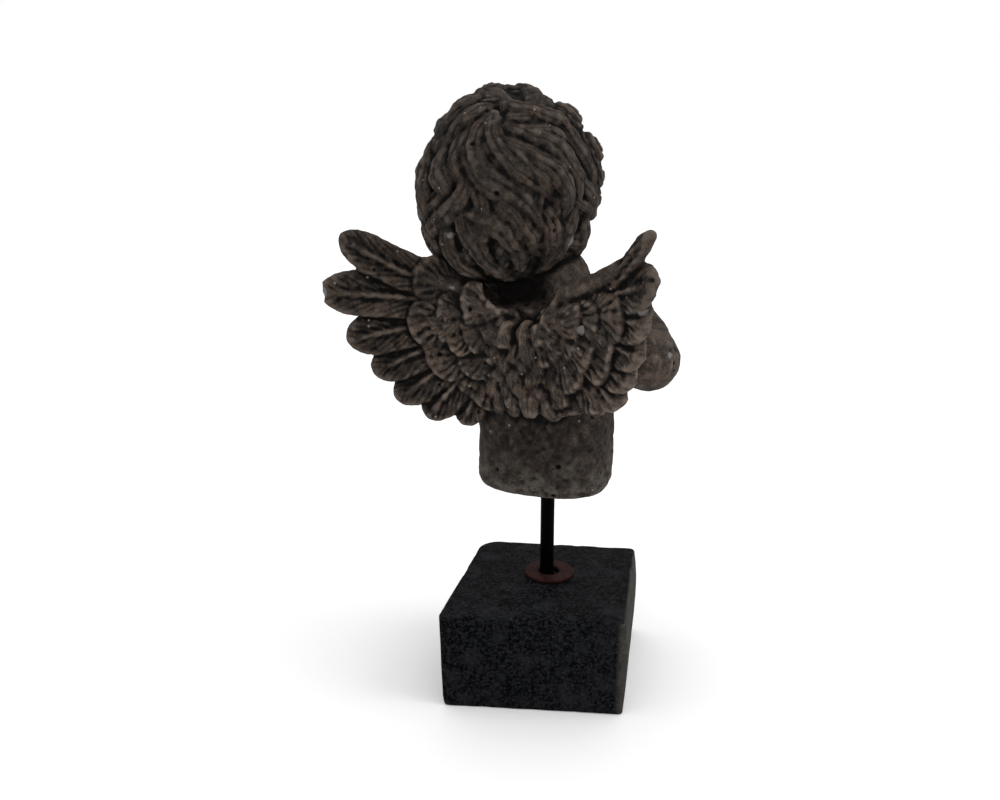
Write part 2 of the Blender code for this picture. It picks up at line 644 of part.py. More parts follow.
def main():
    for obj in list(bpy.data.objects):
        bpy.data.objects.remove(obj, do_unlink=True)
    parts = bpy.data.collections.new("angel_with_violin")
    cutters = bpy.data.collections.new("cutters")
    for collection in (parts, cutters):
        bpy.context.scene.collection.children.link(collection)
    make_block(parts, cutters)
    make_rod(parts)
    make_washer(parts)
    make_bust(parts, cutters)


main()
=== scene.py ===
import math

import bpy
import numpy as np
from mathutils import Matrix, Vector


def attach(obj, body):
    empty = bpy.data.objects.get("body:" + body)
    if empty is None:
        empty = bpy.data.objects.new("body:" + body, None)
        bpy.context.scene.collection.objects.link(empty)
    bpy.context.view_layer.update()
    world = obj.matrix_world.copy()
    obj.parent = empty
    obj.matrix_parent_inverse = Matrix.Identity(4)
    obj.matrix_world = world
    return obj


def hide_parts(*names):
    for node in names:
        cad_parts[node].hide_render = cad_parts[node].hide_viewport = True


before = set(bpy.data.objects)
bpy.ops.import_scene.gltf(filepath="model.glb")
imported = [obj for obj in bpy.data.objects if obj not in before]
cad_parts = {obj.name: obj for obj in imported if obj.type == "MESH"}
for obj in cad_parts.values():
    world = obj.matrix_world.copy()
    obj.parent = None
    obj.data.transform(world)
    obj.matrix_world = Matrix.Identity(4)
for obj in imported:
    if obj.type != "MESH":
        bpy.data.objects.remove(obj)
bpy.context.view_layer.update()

# Looks of the small cast stone bust of a winged child with a violin, on a rod and a granite block.
# The casting is worked out as distances on a grid in figure units of a millimetre: x to the figure's
# right, y forward, z up from just above the cut foot. Block, washer and rod are profiles carried round.

# Grid of the casting: its numbers, a distance that counts as far, spare room round a form, and its step
F = np.float32
FAR = 9.0
REACH = 3.0
GRAIN = 0.45
BUST_TRIANGLES = 196000
PORES, TUFTS = 420, 9
CASTING_SKIN = ((11.0, 0.35), (4.0, 0.24), (1.6, 0.20))

# The part's own sizes, in metres
UNIT = 0.001
ROD_AXIS = (0.0, -0.0045)
FIGURE_LEVEL = 0.073
FIGURE_TURN = math.radians(159)
BLOCK_WIDTH, BLOCK_DEPTH, BLOCK_HEIGHT = 0.061, 0.064, 0.0345
BLOCK_EDGE, BLOCK_TAPER = 0.0008, 0.0008
CORNER_RADIUS, WORN_CORNER_RADIUS = 0.0015, 0.008
SAWN_BULGE, KNOCK_DEPTH, KNOCK_REACH = 0.0017, 0.0010, 0.0012
SIDE_SLANT, BACK_SLANT, FRONT_SLANT = (math.radians(d) for d in (3.8, 5.0, 2.2))
ROD_RADIUS, ROD_LENGTH, ROD_FOOT = 0.0025, 0.0735, 0.0165
HOLE_RADIUS, BLOCK_HOLE_FLOOR = 0.0028, 0.0162
WASHER_INNER, WASHER_OUTER, WASHER_THICKNESS = 0.0037, 0.009, 0.0012
WASHER_CENTRE = (0.0009 * math.cos(math.radians(189)), -0.0045 + 0.0009 * math.sin(math.radians(189)))
WASHER_SEAT = BLOCK_HEIGHT + 0.0003

# The figure's own sizes, in figure units
FOOT = -3.0
ROD_HOLE_RADIUS, ROD_HOLE_TOP = 2.8, 17.3
GRID_LOW, GRID_HIGH = (-67.0, -57.0, -5.0), (59.0, 66.0, 140.5)
# Torso as rows of (height, centre x, centre y, half width, half depth), and its turn in degrees
TORSO = ((-3.0, -0.9, -0.5, 21.0, 14.6), (-2.2, -0.9, -0.5, 22.4, 16.2), (0.5, -0.9, -0.5, 23.3, 17.6),
         (28.0, -0.9, -0.5, 23.5, 17.6), (40.0, 0, 1.0, 25.5, 18.6), (51.0, -0.5, 1.0, 26.0, 18.0),
         (58.0, -2, -0.5, 24.0, 15.5), (63.0, -5, -0.5, 18.5, 12.5), (69.0, -9, 0, 12.5, 11.5),
         (84.0, -13, 0, 12.0, 11.0))
TORSO_TURN_HEIGHTS, TORSO_TURNS = (0, 30, 45), (12, 10, 0)
WING_ROOT = (5.0, -16.0, 61.0)
WING_BEND = math.radians(55) / 70.0
SWEEP_AT_ROOT = math.radians(5)
LEFT_FLIGHT = ((63.0, 22, 13), (65.8, 5.5, 15), (58.0, -10, 15), (53.5, -24, 14.5), (52.5, -38, 14),
               (49.5, -51, 14), (45.0, -65, 13), (38.5, -80, 13))
RIGHT_FLIGHT = ((54.5, 32, 8.5), (51.5, 17, 15), (46.5, 4, 15), (44, -10, 14), (42, -24, 13),
                (41.5, -37, 13), (38.0, -51, 12), (34.5, -67, 12), (33.5, -84, 12))
COVERT_ROWS = ((36.0, 14.0, 6, 1.9), (27.0, 11.5, 6, 3.3), (18.5, 10.0, 6, 4.5), (11.0, 9.0, 5, 5.4))
LEFT_FAN, RIGHT_FAN = (14.0, -84.0), (4.0, -84.0)
SHEET_RUN, SHEET_STEP, SHEET_LIFT = (-8.0, 76.0), 0.25, -1.6
FLIGHT_THICKNESS, COVERT_THICKNESS, TUFT_THICKNESS = 4.4, 4.2, 3.6
TOP_FEATHER_BOW, BROKEN_TIP = 3.0, 64.2
NAPE_HOLLOWS = (((-2.0, -17.0, 68.5), (13.5, 9.5, 7.5)),)
HEAD_CENTRE = np.array((-16.3, -1.2, 99.6))
SKULL = (25.3, 25.5, 28.8)
FACE_AXIS = np.array((0.0, 0.97, -0.24)) / math.hypot(0.97, 0.24)
BROW_HAIRLINE, CHEEK_HAIRLINE = math.radians(55), math.radians(70)
CROWN = np.array((0.30, -0.62, 0.72)) / math.sqrt(0.30 ** 2 + 0.62 ** 2 + 0.72 ** 2)
LOCKS, LOOSE_LOCKS = 24, 10
HAIR_DEPTH = 3.0
# Curls round the face as (degrees about its axis, size, lift), from beside the right jaw up and over
FACE_CURLS = ((-30, 5.0, -3.0), (66, 6.2, -1.0), (86, 5.4, 0.0), (106, 5.0, 0.2), (126, 5.6, 0.0),
              (147, 5.0, 0.2), (168, 5.4, 0.0), (190, 5.2, 0.2))
# Further curls as (direction in the head's axes, size, lift): on top, beside the right ear, at the nape
HEAPED_CURLS = ((0.00, -0.10, 1.0, 8.0, -4.8), (0.28, 0.06, 0.96, 8.2, -4.6), (0.50, 0.19, 0.86, 7.6, -4.2),
                (0.71, 0.26, 0.68, 7.6, -0.9), (0.89, 0.37, 0.30, 7.8, -0.4), (0.94, 0.37, 0.02, 5.8, -0.6),
                (0.92, 0.37, -0.24, 6.2, -2.8), (0.75, 0.32, -0.58, 4.6, -3.6),
                (0.65, 0.27, -0.71, 4.8, -2.2), (0.56, 0.19, -0.80, 5.0, -1.2),
                (0.15, -0.36, 0.92, 7.2, -4.9))
# Locks that lie on top at the back, as (size, lift, directions in the head's axes from root to tip)
BACK_LOCKS = (
    (3.9, 1.4, (0.26, -0.61, 0.75), (0.30, -0.79, 0.54), (0.36, -0.86, 0.37), (0.50, -0.85, 0.19),
     (0.62, -0.79, 0.03), (0.72, -0.69, -0.07), (0.83, -0.52, -0.21)),
    (4.0, 1.6, (0.19, -0.67, 0.71), (0.15, -0.82, 0.56), (0.12, -0.91, 0.40), (0.20, -0.95, 0.23),
     (0.31, -0.95, 0.07), (0.54, -0.83, -0.17), (0.63, -0.71, -0.32), (0.62, -0.58, -0.53)),
    (3.6, 0.9, (0.05, -0.72, 0.70), (0.02, -0.84, 0.55), (-0.05, -0.91, 0.40), (-0.07, -0.97, 0.23),
     (0.01, -1.0, 0.05)),
    (3.9, 1.0, (-0.62, -0.52, 0.59), (-0.65, -0.66, 0.37), (-0.62, -0.78, 0.12), (-0.57, -0.81, -0.13),
     (-0.48, -0.81, -0.35)),
    (3.8, 1.6, (-0.25, -0.84, 0.48), (-0.30, -0.92, 0.26), (-0.25, -0.96, 0.14), (-0.21, -0.98, 0.01)),
    (3.5, 0.7, (-0.08, -0.99, -0.11), (-0.03, -0.93, -0.36), (0.03, -0.84, -0.55), (0.07, -0.69, -0.72),
     (0.10, -0.43, -0.90)),
    (3.6, 1.1, (-0.03, -0.97, -0.24), (0.22, -0.92, -0.32), (0.36, -0.82, -0.45), (0.39, -0.68, -0.62),
     (0.31, -0.48, -0.82)),
    (3.6, 0.9, (0.23, -0.97, -0.04), (0.39, -0.91, -0.17), (0.49, -0.81, -0.32), (0.53, -0.67, -0.52),
     (0.46, -0.54, -0.71)),
    (3.8, 0.9, (0.45, -0.63, 0.63), (0.64, -0.57, 0.53), (0.80, -0.46, 0.39), (0.92, -0.33, 0.20),
     (0.97, -0.23, -0.03), (0.94, -0.22, -0.27)),
    (3.7, 1.3, (0.56, -0.74, 0.36), (0.74, -0.65, 0.21), (0.86, -0.52, 0.02), (0.89, -0.43, -0.18),
     (0.82, -0.42, -0.38)),
    (3.4, 0.8, (0.29, -0.45, 0.84), (0.50, -0.39, 0.78), (0.70, -0.21, 0.68), (0.78, 0.08, 0.62),
     (0.82, 0.32, 0.47)),
    (3.4, 0.6, (0.92, -0.28, -0.26), (0.83, -0.33, -0.45), (0.70, -0.36, -0.62), (0.56, -0.32, -0.76),
     (0.38, -0.26, -0.89)),
    (3.2, 0.2, (0.93, -0.05, -0.37), (0.82, 0.00, -0.57), (0.61, 0.04, -0.75), (0.46, 0.07, -0.87)),
    (3.3, 0.5, (-0.83, -0.54, -0.15), (-0.76, -0.50, -0.42), (-0.58, -0.49, -0.65), (-0.44, -0.31, -0.84)),
    (3.4, 0.9, (-0.29, -0.91, -0.30), (-0.32, -0.77, -0.55), (-0.23, -0.62, -0.75), (-0.13, -0.39, -0.91)),
    (3.4, 0.7, (0.02, -0.36, 0.93), (-0.12, -0.45, 0.88), (-0.29, -0.58, 0.76), (-0.48, -0.64, 0.59)),
    (3.4, 1.0, (0.18, -0.53, 0.83), (0.05, -0.64, 0.77), (-0.11, -0.76, 0.64), (-0.23, -0.84, 0.49)),
    (3.1, 1.7, (0.43, -0.77, 0.47), (0.51, -0.80, 0.33), (0.65, -0.75, 0.14), (0.78, -0.63, 0.00),
     (0.84, -0.53, -0.10)),
    (3.3, 1.0, (0.71, -0.66, -0.24), (0.72, -0.55, -0.42), (0.66, -0.44, -0.61), (0.52, -0.37, -0.77)))
RIGHT_ARM = ((19, -5, 55), (30, -2, 49), (34, 7, 44.5), (28, 20, 49), (20, 31, 55))
LEFT_ARM = ((-20, -3, 54), (-29, 6, 47), (-32, 17, 44), (-33, 32, 48), (-33, 44, 55))
ARM_RADII = (10.0, 9.8, 9.8, 7.8, 5.2)
SHOULDERS, SHOULDER_RADII = ((19, -4, 55), (-20, -3, 54)), (11.0, 11.5, 9.5)
ELBOW, ELBOW_RADII = (34.0, 6.0, 44.5), (9.6, 11.0, 9.8)
PALM_RADII, WRIST_RADII, FINGER_RADII = (5.2, 5.6, 4.6), (5.0, 5.0), (2.2, 2.1, 1.9, 1.6)
# Each hand as (palm, knuckles, reach of a finger, step to the next finger, curl of its end)
RIGHT_HAND = ((17.5, 34.5, 58), (15, 36.5, 60), (-1.5, 3.0, -1.5), (2.4, 0.4, -0.8), (0.5, -0.5, -3.0))
LEFT_HAND = ((-33.5, 48, 57.5), (-37, 48.5, 61), (1.0, 0.5, 3.2), (-1.4, 2.1, -0.3), (2.6, 1.2, 1.0))
# Stone left between the limbs, as (centre, radii)
FILLINGS = (((10, 11, 47), (12, 8.5, 9)), ((-10, 11, 47), (12, 8.5, 9)), ((20, 10, 45), (14, 14, 11)),
            ((-20, 12, 45), (13, 15, 11)), ((-2, 10, 57), (19, 12, 9)), ((-14, 22, 61), (10, 12, 5)),
            ((-28, 38, 55), (6, 10, 5)), ((4, 1, 69), (9, 10, 11)), ((-15, -2, 69), (9, 7, 9)))
VIOLIN_TAIL = np.array((-9.0, 15.0, 69.5))
VIOLIN_SCROLL = np.array((-38.0, 55.0, 62.0))
VIOLIN_FRONT = (-0.25, 0.1, 1.0)
VIOLIN_BODY, VIOLIN_WIDTH, VIOLIN_DEPTH = 32.0, 19.0, 6.0
BOW_HEEL, BOW_TIP = np.array((20.0, 35.0, 58.5)), np.array((-40.0, 23.0, 78.0))
BOW_HAIR_DROP = np.array((0.0, 0.3, -1.6))

# Camera of the photograph: place in metres, lens in millimetres, and where it looks in degrees
CAMERA_PLACE, LENS, SENSOR = (-0.03167, 0.30528, 0.184), 33.12, 36.0
LOOK_LEVEL, LOOK_DOWN = 189, 15


def ease(value, low, high):
    """Smooth step from 0 at low to 1 at high."""
    t = np.clip((value - low) / (high - low), 0.0, 1.0)
    return t * t * (3 - 2 * t)


def unit(vector):
    """A vector, or rows of vectors, at length one."""
    vector = np.asarray(vector, float)
    return vector / np.linalg.norm(vector, axis=-1, keepdims=True)


def join(a, b, blend):
    """The lower of two distances, rounded by blend where they are alike."""
    if blend <= 0:
        return np.minimum(a, b)
    near = np.maximum(blend - np.abs(a - b), 0)
    return np.minimum(a, b) - near * near / (4 * blend)


def away(a, b, blend):
    """Distance a with the form b cut away, the edge rounded by blend."""
    return -join(-a, b, blend)


class Stone:
    """The casting as a grid of distances to its surface, below zero inside.

    Two more grids count the fine lines, barbs or strands, across the surface and say how strong they are.
    """

    def __init__(self, low, high, step):
        self.low, self.step = np.array(low), step
        self.axes = [np.arange(a, b, step).astype(F) for a, b in zip(low, high)]
        shape = [len(axis) for axis in self.axes]
        self.gap = np.full(shape, FAR, F)
        self.lines = np.zeros(shape, F)
        self.comb = np.zeros(shape, F)

    def room(self, low, high, spare=REACH):
        """The part of the grid within a box: its slices and its x, y and z."""
        cuts = tuple(slice(*np.searchsorted(axis, (a - spare, b + spare)))
                     for axis, a, b in zip(self.axes, low, high))
        x, y, z = (axis[cut] for axis, cut in zip(self.axes, cuts))
        return cuts, x[:, None, None], y[None, :, None], z[None, None, :]

    def add(self, cuts, gap, blend, lines=0.0, comb=0.0):
        """Join a form's distances to the stone."""
        old = self.gap[cuts]
        nearer = gap < old
        self.lines[cuts] = np.where(nearer, lines, self.lines[cuts])
        self.comb[cuts] = np.where(nearer, comb, self.comb[cuts])
        self.gap[cuts] = join(old, gap, blend)

    def add_ball(self, centre, radii, blend, turn=None):
        """Join an egg-shaped ball."""
        reach = np.full(3, max(radii))
        cuts, x, y, z = self.room(np.array(centre) - reach, np.array(centre) + reach)
        self.add(cuts, egg(x - centre[0], y - centre[1], z - centre[2], radii, turn), blend)

    def add_limb(self, points, radii, blend):
        """Join a round limb that swells and thins along its points."""
        points = np.asarray(points, float)
        cuts, x, y, z = self.room(points.min(0) - max(radii), points.max(0) + max(radii))
        self.add(cuts, limb(x, y, z, points, radii), blend)

    def read(self, grid, points, skip=1):
        """Values of a grid at points, read between its nodes along all three axes."""
        at = (points - self.low) / (self.step * skip)
        base = np.clip(np.floor(at).astype(int), 0, np.array(grid.shape) - 2)
        share = np.clip(at - base, 0, 1).astype(F)
        value = np.zeros(len(points), F)
        for i in (0, 1):
            for j in (0, 1):
                for k in (0, 1):
                    weight = (np.abs(1 - i - share[:, 0]) * np.abs(1 - j - share[:, 1])
                              * np.abs(1 - k - share[:, 2]))
                    value += weight * grid[base[:, 0] + i, base[:, 1] + j, base[:, 2] + k]
        return value


def egg(x, y, z, radii, turn=None):
    """Near distance to an ellipsoid: k0 (k0 - 1) / k1, with k0 and k1 the lengths of p/r and p/r/r."""
    if turn is not None:
        x, y, z = (x * turn[0][i] + y * turn[1][i] + z * turn[2][i] for i in range(3))
    a, b, c = radii
    near = np.sqrt((x / a) ** 2 + (y / b) ** 2 + (z / c) ** 2)
    slope = np.sqrt((x / a / a) ** 2 + (y / b / b) ** 2 + (z / c / c) ** 2)
    return near * (near - 1) / np.maximum(slope, 1e-4)


def limb(x, y, z, points, radii):
    """Distance to a chain of cones: to the nearest point of each stretch, less the radius there."""
    points = np.asarray(points, float)
    best = F(FAR)
    for a, b, ra, rb in zip(points, points[1:], radii, radii[1:]):
        ahead = b - a
        t = ((x - a[0]) * ahead[0] + (y - a[1]) * ahead[1] + (z - a[2]) * ahead[2]) / (ahead @ ahead)
        t = np.clip(t, 0, 1)
        off = np.sqrt((x - a[0] - t * ahead[0]) ** 2 + (y - a[1] - t * ahead[1]) ** 2
                      + (z - a[2] - t * ahead[2]) ** 2)
        best = np.minimum(best, off - (ra + (rb - ra) * t))
    return best


def bend_through(points, radii, count=14):
    """Smooth path through a few points (Catmull-Rom), with radii read along it."""
    points = np.asarray(points, float)
    ends = np.vstack([points[0] * 2 - points[1], points, points[-1] * 2 - points[-2]])
    place = np.linspace(0, len(points) - 1, count)
    i = np.minimum(place.astype(int), len(points) - 2)
    t = (place - i)[:, None]
    p0, p1, p2, p3 = (ends[i + k] for k in range(4))
    path = 0.5 * (2 * p1 + (p2 - p0) * t + (2 * p0 - 5 * p1 + 4 * p2 - p3) * t ** 2
                  + (3 * p1 - p0 - 3 * p2 + p3) * t ** 3)
    return path, np.interp(place, range(len(radii)), radii)


# Torso

def add_torso(stone):
    """Stump, chest and neck: at each height a squared oval (power 2.5) of its own centre, size and turn."""
    heights, *columns = zip(*TORSO)
    cuts, x, y, z = stone.room((-30, -24, -5), (30, 24, heights[-1]))
    centre_x, centre_y, half_x, half_y = (np.interp(z, heights, column).astype(F) for column in columns)
    x, y = x - centre_x, y - centre_y
    turn = np.radians(np.interp(z, TORSO_TURN_HEIGHTS, TORSO_TURNS)).astype(F)
    across, deep = x * np.cos(turn) + y * np.sin(turn), y * np.cos(turn) - x * np.sin(turn)
    oval = (np.abs(across / half_x) ** 2.5 + np.abs(deep / half_y) ** 2.5) ** 0.4
    gap = np.sqrt(across ** 2 + deep ** 2) * (1 - 1 / np.maximum(oval, 1e-3)) * 0.92
    stone.add(cuts, np.maximum(gap, z - heights[-1]), 0)


# Wings

def wing_point(side, run, height, lift):
    """Figure position on a wing: run along its curved sheet, height, and lift off its rear face."""
    angle = SWEEP_AT_ROOT + WING_BEND * run
    out = (math.sin(angle) - math.sin(SWEEP_AT_ROOT)) / WING_BEND
    back = (math.cos(SWEEP_AT_ROOT) - math.cos(angle)) / WING_BEND
    return np.array((side * (WING_ROOT[0] + out - lift * math.sin(angle)),
                     WING_ROOT[1] - back - lift * math.cos(angle), height))


class Sheet:
    """Relief of one wing over run and height: rear face, front face, and the barbs on each."""

    def __init__(self, heights):
        self.runs = np.arange(*SHEET_RUN, SHEET_STEP)
        self.run, self.height = np.meshgrid(self.runs, heights - WING_ROOT[2], indexing="ij")
        self.rear = np.full(self.run.shape, -40.0)
        self.front = np.full(self.run.shape, 40.0)
        self.lines = np.zeros(self.run.shape)
        spot = np.stack([self.run, self.height, 0 * self.run], -1)
        self.sway = noise_at(spot, 6.0, 21) + 0.4 * noise_at(spot, 2.2, 22)
        self.fade = np.clip(0.75 + 0.6 * noise_at(spot, 4.5, 23), 0.2, 1.2)

    def lay(self, length, degrees, width, lift, thickness, start=0.0, bow=0.0, fan=False, chip=None):
        """Lay one feather.

        Its outline is a vane that widens from the quill and ends in half an ellipse. Its faces are
        domed, roll over within a millimetre of the outline and fall away outside it. A quill ridge
        runs down the middle, and barbs slant off it, or fan out from a point near a covert's tip.
        """
        angle = math.radians(degrees)
        along = self.run * math.cos(angle) + self.height * math.sin(angle)
        aside = self.height * math.cos(angle) - self.run * math.sin(angle)
        reach = length - start
        t = (along - start) / reach
        aside = aside + bow * np.sin(math.pi * np.clip(t, 0, 1))
        vane = (0.42 + 0.58 * ease(t, 0.0, 0.62)) * np.sqrt(np.clip(t / 0.05, 0, 1))
        half = width / 2 * np.maximum(vane, 0.02)
        tip = start + 0.8 * reach
        oval = np.hypot((along - tip) / (0.2 * reach), aside / (width / 2))
        round_gap = np.hypot(along - tip, aside) * (1 / np.maximum(oval, 1e-3) - 1)
        edge = np.where(along > tip, round_gap, half - np.abs(aside))
        edge = np.where(t < 0, -np.abs(along - start) - np.abs(aside), edge)
        if chip:
            edge = np.minimum(edge, (chip - self.run - 0.25 * np.sin(self.height * 1.7)) * 1.5)
        inside = np.clip(edge / 1.4, 0, 1)
        shoulder = np.sqrt(np.clip(1 - (1 - inside) ** 2, 0, 1))
        across = np.clip(aside / np.maximum(half, 2.0), -1.1, 1.1)
        quill = np.exp(-(aside / 0.75) ** 2) * ease(t, 0.02, 0.15) * (1 - ease(t, 0.82, 1.0))
        if fan:
            hub = length - width * 0.95
            lines = np.arctan2(aside, np.maximum(along - hub, 0.6)) * 3.8
        else:
            lines = (np.abs(aside) - 0.42 * along) / 1.9
        lines = lines + 0.45 * self.sway
        barbs = (np.abs(np.sin(math.pi * lines)) - 0.64) * (1 - quill) * self.fade
        crown = thickness / 2 * shoulder * (0.62 + 0.38 * (1 - across ** 2))
        fall = 3.0 * np.minimum(edge, 0)
        base = lift - (1.5 if not fan else 0.4) * across
        beside = np.exp(-((np.abs(aside) - 1.7) / 0.7) ** 2)
        detail = shoulder * ((0.3 if fan else 0.85) * quill - (0.0 if fan else 0.3) * beside
                             + (0.66 if fan else 0.56) * barbs)
        rear = base + crown + detail + fall
        upper = rear > self.rear
        self.lines = np.where(upper, lines, self.lines)
        self.rear = np.where(upper, rear, self.rear)
        self.front = np.minimum(self.front, base - crown - 0.7 * detail - fall)

    def soften(self):
        """Wear the relief a little: a short running mean along both directions."""
        for name in ("rear", "front"):
            relief = getattr(self, name)
            relief = np.clip(relief, -40, 40)
            relief[1:-1] = (relief[:-2] + 2 * relief[1:-1] + relief[2:]) / 4
            relief[:, 1:-1] = (relief[:, :-2] + 4 * relief[:, 1:-1] + relief[:, 2:]) / 6
            setattr(self, name, relief)


def slope_of(relief, run_step, height_step):
    """How much steeper than level a relief is, at most five times, to turn heights into distances."""
    by_run, by_height = np.gradient(relief, run_step, height_step)
    return np.sqrt(1 + np.clip(by_run ** 2 + by_height ** 2, 0, 24))


def add_wing(stone, side, flight, fan, draw):
    """A wing: flight feathers, rows of coverts that lie over them and the rounded leading edge."""
    low, high = sorted((side * 2.0, side * 66.0))
    cuts, x, y, z = stone.room((low, -56, 18), (high, -8, 92), 0.0)
    heights = z[0, 0].astype(float)
    sheet = Sheet(heights)
    for k, (length, degrees, width) in enumerate(flight):
        chip = BROKEN_TIP if side < 0 and k == 1 else None
        bow = TOP_FEATHER_BOW if k == 0 else 0.0
        sheet.lay(length, degrees, width, SHEET_LIFT, FLIGHT_THICKNESS, bow=bow, chip=chip)
    for row, (length, width, count, lift) in enumerate(COVERT_ROWS):
        for k in range(count):
            share = (k + 0.5 * (row % 2)) / (count - 0.5)
            degrees = fan[0] + (fan[1] - fan[0]) * share
            jitter = draw.uniform(-1, 1, 4) * (2.2, 5.0, 1.8, 0.8)
            sheet.lay(length + jitter[0], degrees + jitter[1], width + 1.0 + jitter[2],
                      lift + SHEET_LIFT + jitter[3], COVERT_THICKNESS, start=length * 0.25, fan=True,
                      bow=draw.uniform(-1.5, 1.5))
    for k in range(TUFTS):
        length, degrees = draw.uniform(13, 32), draw.uniform(*sorted(fan))
        width, lift = draw.uniform(6, 9), draw.uniform(0.6, 1.6) + 3.4 * (1 - length / 39)
        sheet.lay(length, degrees, width, lift, TUFT_THICKNESS, start=length - draw.uniform(8, 13), fan=True,
                  bow=draw.uniform(-1.5, 1.5))
    sheet.soften()
    out = side * x[:, 0, 0].astype(float)[:, None] - WING_ROOT[0] + math.sin(SWEEP_AT_ROOT) / WING_BEND
    back = WING_ROOT[1] - y[0, :, 0].astype(float)[None, :] - math.cos(SWEEP_AT_ROOT) / WING_BEND
    lift = (1 / WING_BEND - np.hypot(out, back)).astype(F)[:, :, None]
    run = (np.arctan2(out, -back) - SWEEP_AT_ROOT) / WING_BEND
    at = np.clip((run - sheet.runs[0]) / SHEET_STEP, 0, len(sheet.runs) - 1.001)
    base, share = at.astype(int), (at % 1).astype(F)[:, :, None]
    step = float(heights[1] - heights[0])

    def spread(relief):
        relief = relief.astype(F)
        return relief[base] * (1 - share) + relief[base + 1] * share

    rear, front = spread(sheet.rear), spread(sheet.front)
    gap = np.maximum((lift - rear) / spread(slope_of(sheet.rear, SHEET_STEP, step)),
                     (front - lift) / spread(slope_of(sheet.front, SHEET_STEP, step)))
    stone.add(cuts, gap, 0.5, sheet.lines.astype(F)[np.rint(at).astype(int)], 0.7)
    angle = math.radians(flight[0][1] - 3)
    path = [wing_point(side, along * math.cos(angle), WING_ROOT[2] + along * math.sin(angle), -0.8)
            for along in np.arange(5.0, 36.0, 3.0)]
    stone.add_limb(path, np.linspace(5.0, 2.5, len(path)), 1.2)


def add_down(stone, draw):
    """Downy tufts between the wings: short grooved locks in staggered rows down the spine."""
    outward = np.array((0.0, -1.0, 0.0))
    for row, height in enumerate(np.arange(56.0, 31.5, -4.2)):
        for across in ((-8.5, -2.8, 2.8, 8.5) if row % 2 else (-5.6, 0.0, 5.6)):
            x, lean = across + draw.uniform(-1.2, 1.2), across * 0.28 + draw.uniform(-1.5, 1.5)
            depth = -15.6 - 1.4 * math.cos(across / 5) - 0.7 * draw.random()
            reach = draw.uniform(6.5, 9.0)
            path = np.array([(x + lean * t * t, depth - 1.8 * math.sin(2.2 * t), height - reach * t)
                             for t in np.linspace(0, 1, 8)])
            radii = draw.uniform(3.2, 4.3) * np.sin(np.pi * np.linspace(0.30, 0.93, 8)) ** 0.7
            ridges, phase = draw.choice((5.0, 6.0)), draw.uniform(0, 3)
            add_lock(stone, path, np.tile(outward, (8, 1)), radii, ridges, phase, 0.14)


def hollow_nape(stone):
    """The deep hollow between the wings' roots and the neck, under the hair."""
    for centre, radii in NAPE_HOLLOWS:
        centre, reach = np.array(centre), np.array(radii)
        cuts, x, y, z = stone.room(centre - reach, centre + reach)
        hollow = egg(x - centre[0], y - centre[1], z - centre[2], radii)
        stone.gap[cuts] = away(stone.gap[cuts], hollow, 1.5)


# Head

def turn_level(angle):
    """Rotation by an angle about the upright axis."""
    cos, sin = math.cos(angle), math.sin(angle)
    return np.array(((cos, -sin, 0), (sin, cos, 0), (0, 0, 1)))


def head_axes():
    """The head's own axes (right, front, up) as columns: a lean about y, then a turn about z."""
    lean, turn = math.radians(-8), math.radians(2)
    by_y = np.array(((math.cos(lean), 0, math.sin(lean)), (0, 1, 0), (-math.sin(lean), 0, math.cos(lean))))
    return turn_level(turn) @ by_y


HEAD = head_axes()


def hairline(up):
    """Angle from the face's axis where the hair starts: wider beside the cheeks."""
    return BROW_HAIRLINE + (CHEEK_HAIRLINE - BROW_HAIRLINE) * ease(-up, 0.22, 0.42)


def swell(d, at, size, spread):
    """A rounded swelling of the head about the direction at."""
    at = unit(at)
    cosine = np.clip(d[0] * at[0] + d[1] * at[1] + d[2] * at[2], -1, 1)
    return size * np.exp(-(1 - cosine) / spread ** 2)


def head_radius(d):
    """Distance from the head's centre to skin or hair: an egg narrower above, with forehead, cheeks, chin."""
    narrow = 1.0 - 0.14 * d[2]
    base = 1 / np.sqrt((d[0] / SKULL[0] / narrow) ** 2 + (d[1] / SKULL[1] / narrow) ** 2
                       + (d[2] / SKULL[2]) ** 2)
    base = base + swell(d, (0, 1, -0.78), 3.0, 0.19) + swell(d, (0, 1, 0.40), 1.6, 0.30)
    for side in (-1, 1):
        base = base + swell(d, (0.46 * side, 0.9, -0.30), 3.0, 0.24)
    angle = np.arccos(np.clip(d[1] * FACE_AXIS[1] + d[2] * FACE_AXIS[2], -1, 1))
    edge = hairline(d[2])
    cap = HAIR_DEPTH * ease(angle, edge - 0.06, edge + 0.10)
    return base + cap * (1 - ease(d[1], -0.1, 0.3) * ease(-d[2], 0.62, 0.80))


def both_ways(*points):
    """Points from the left to the right of the face, given from the right to its middle."""
    return [(-x, y, z) for x, y, z in points] + list(points[-2::-1])


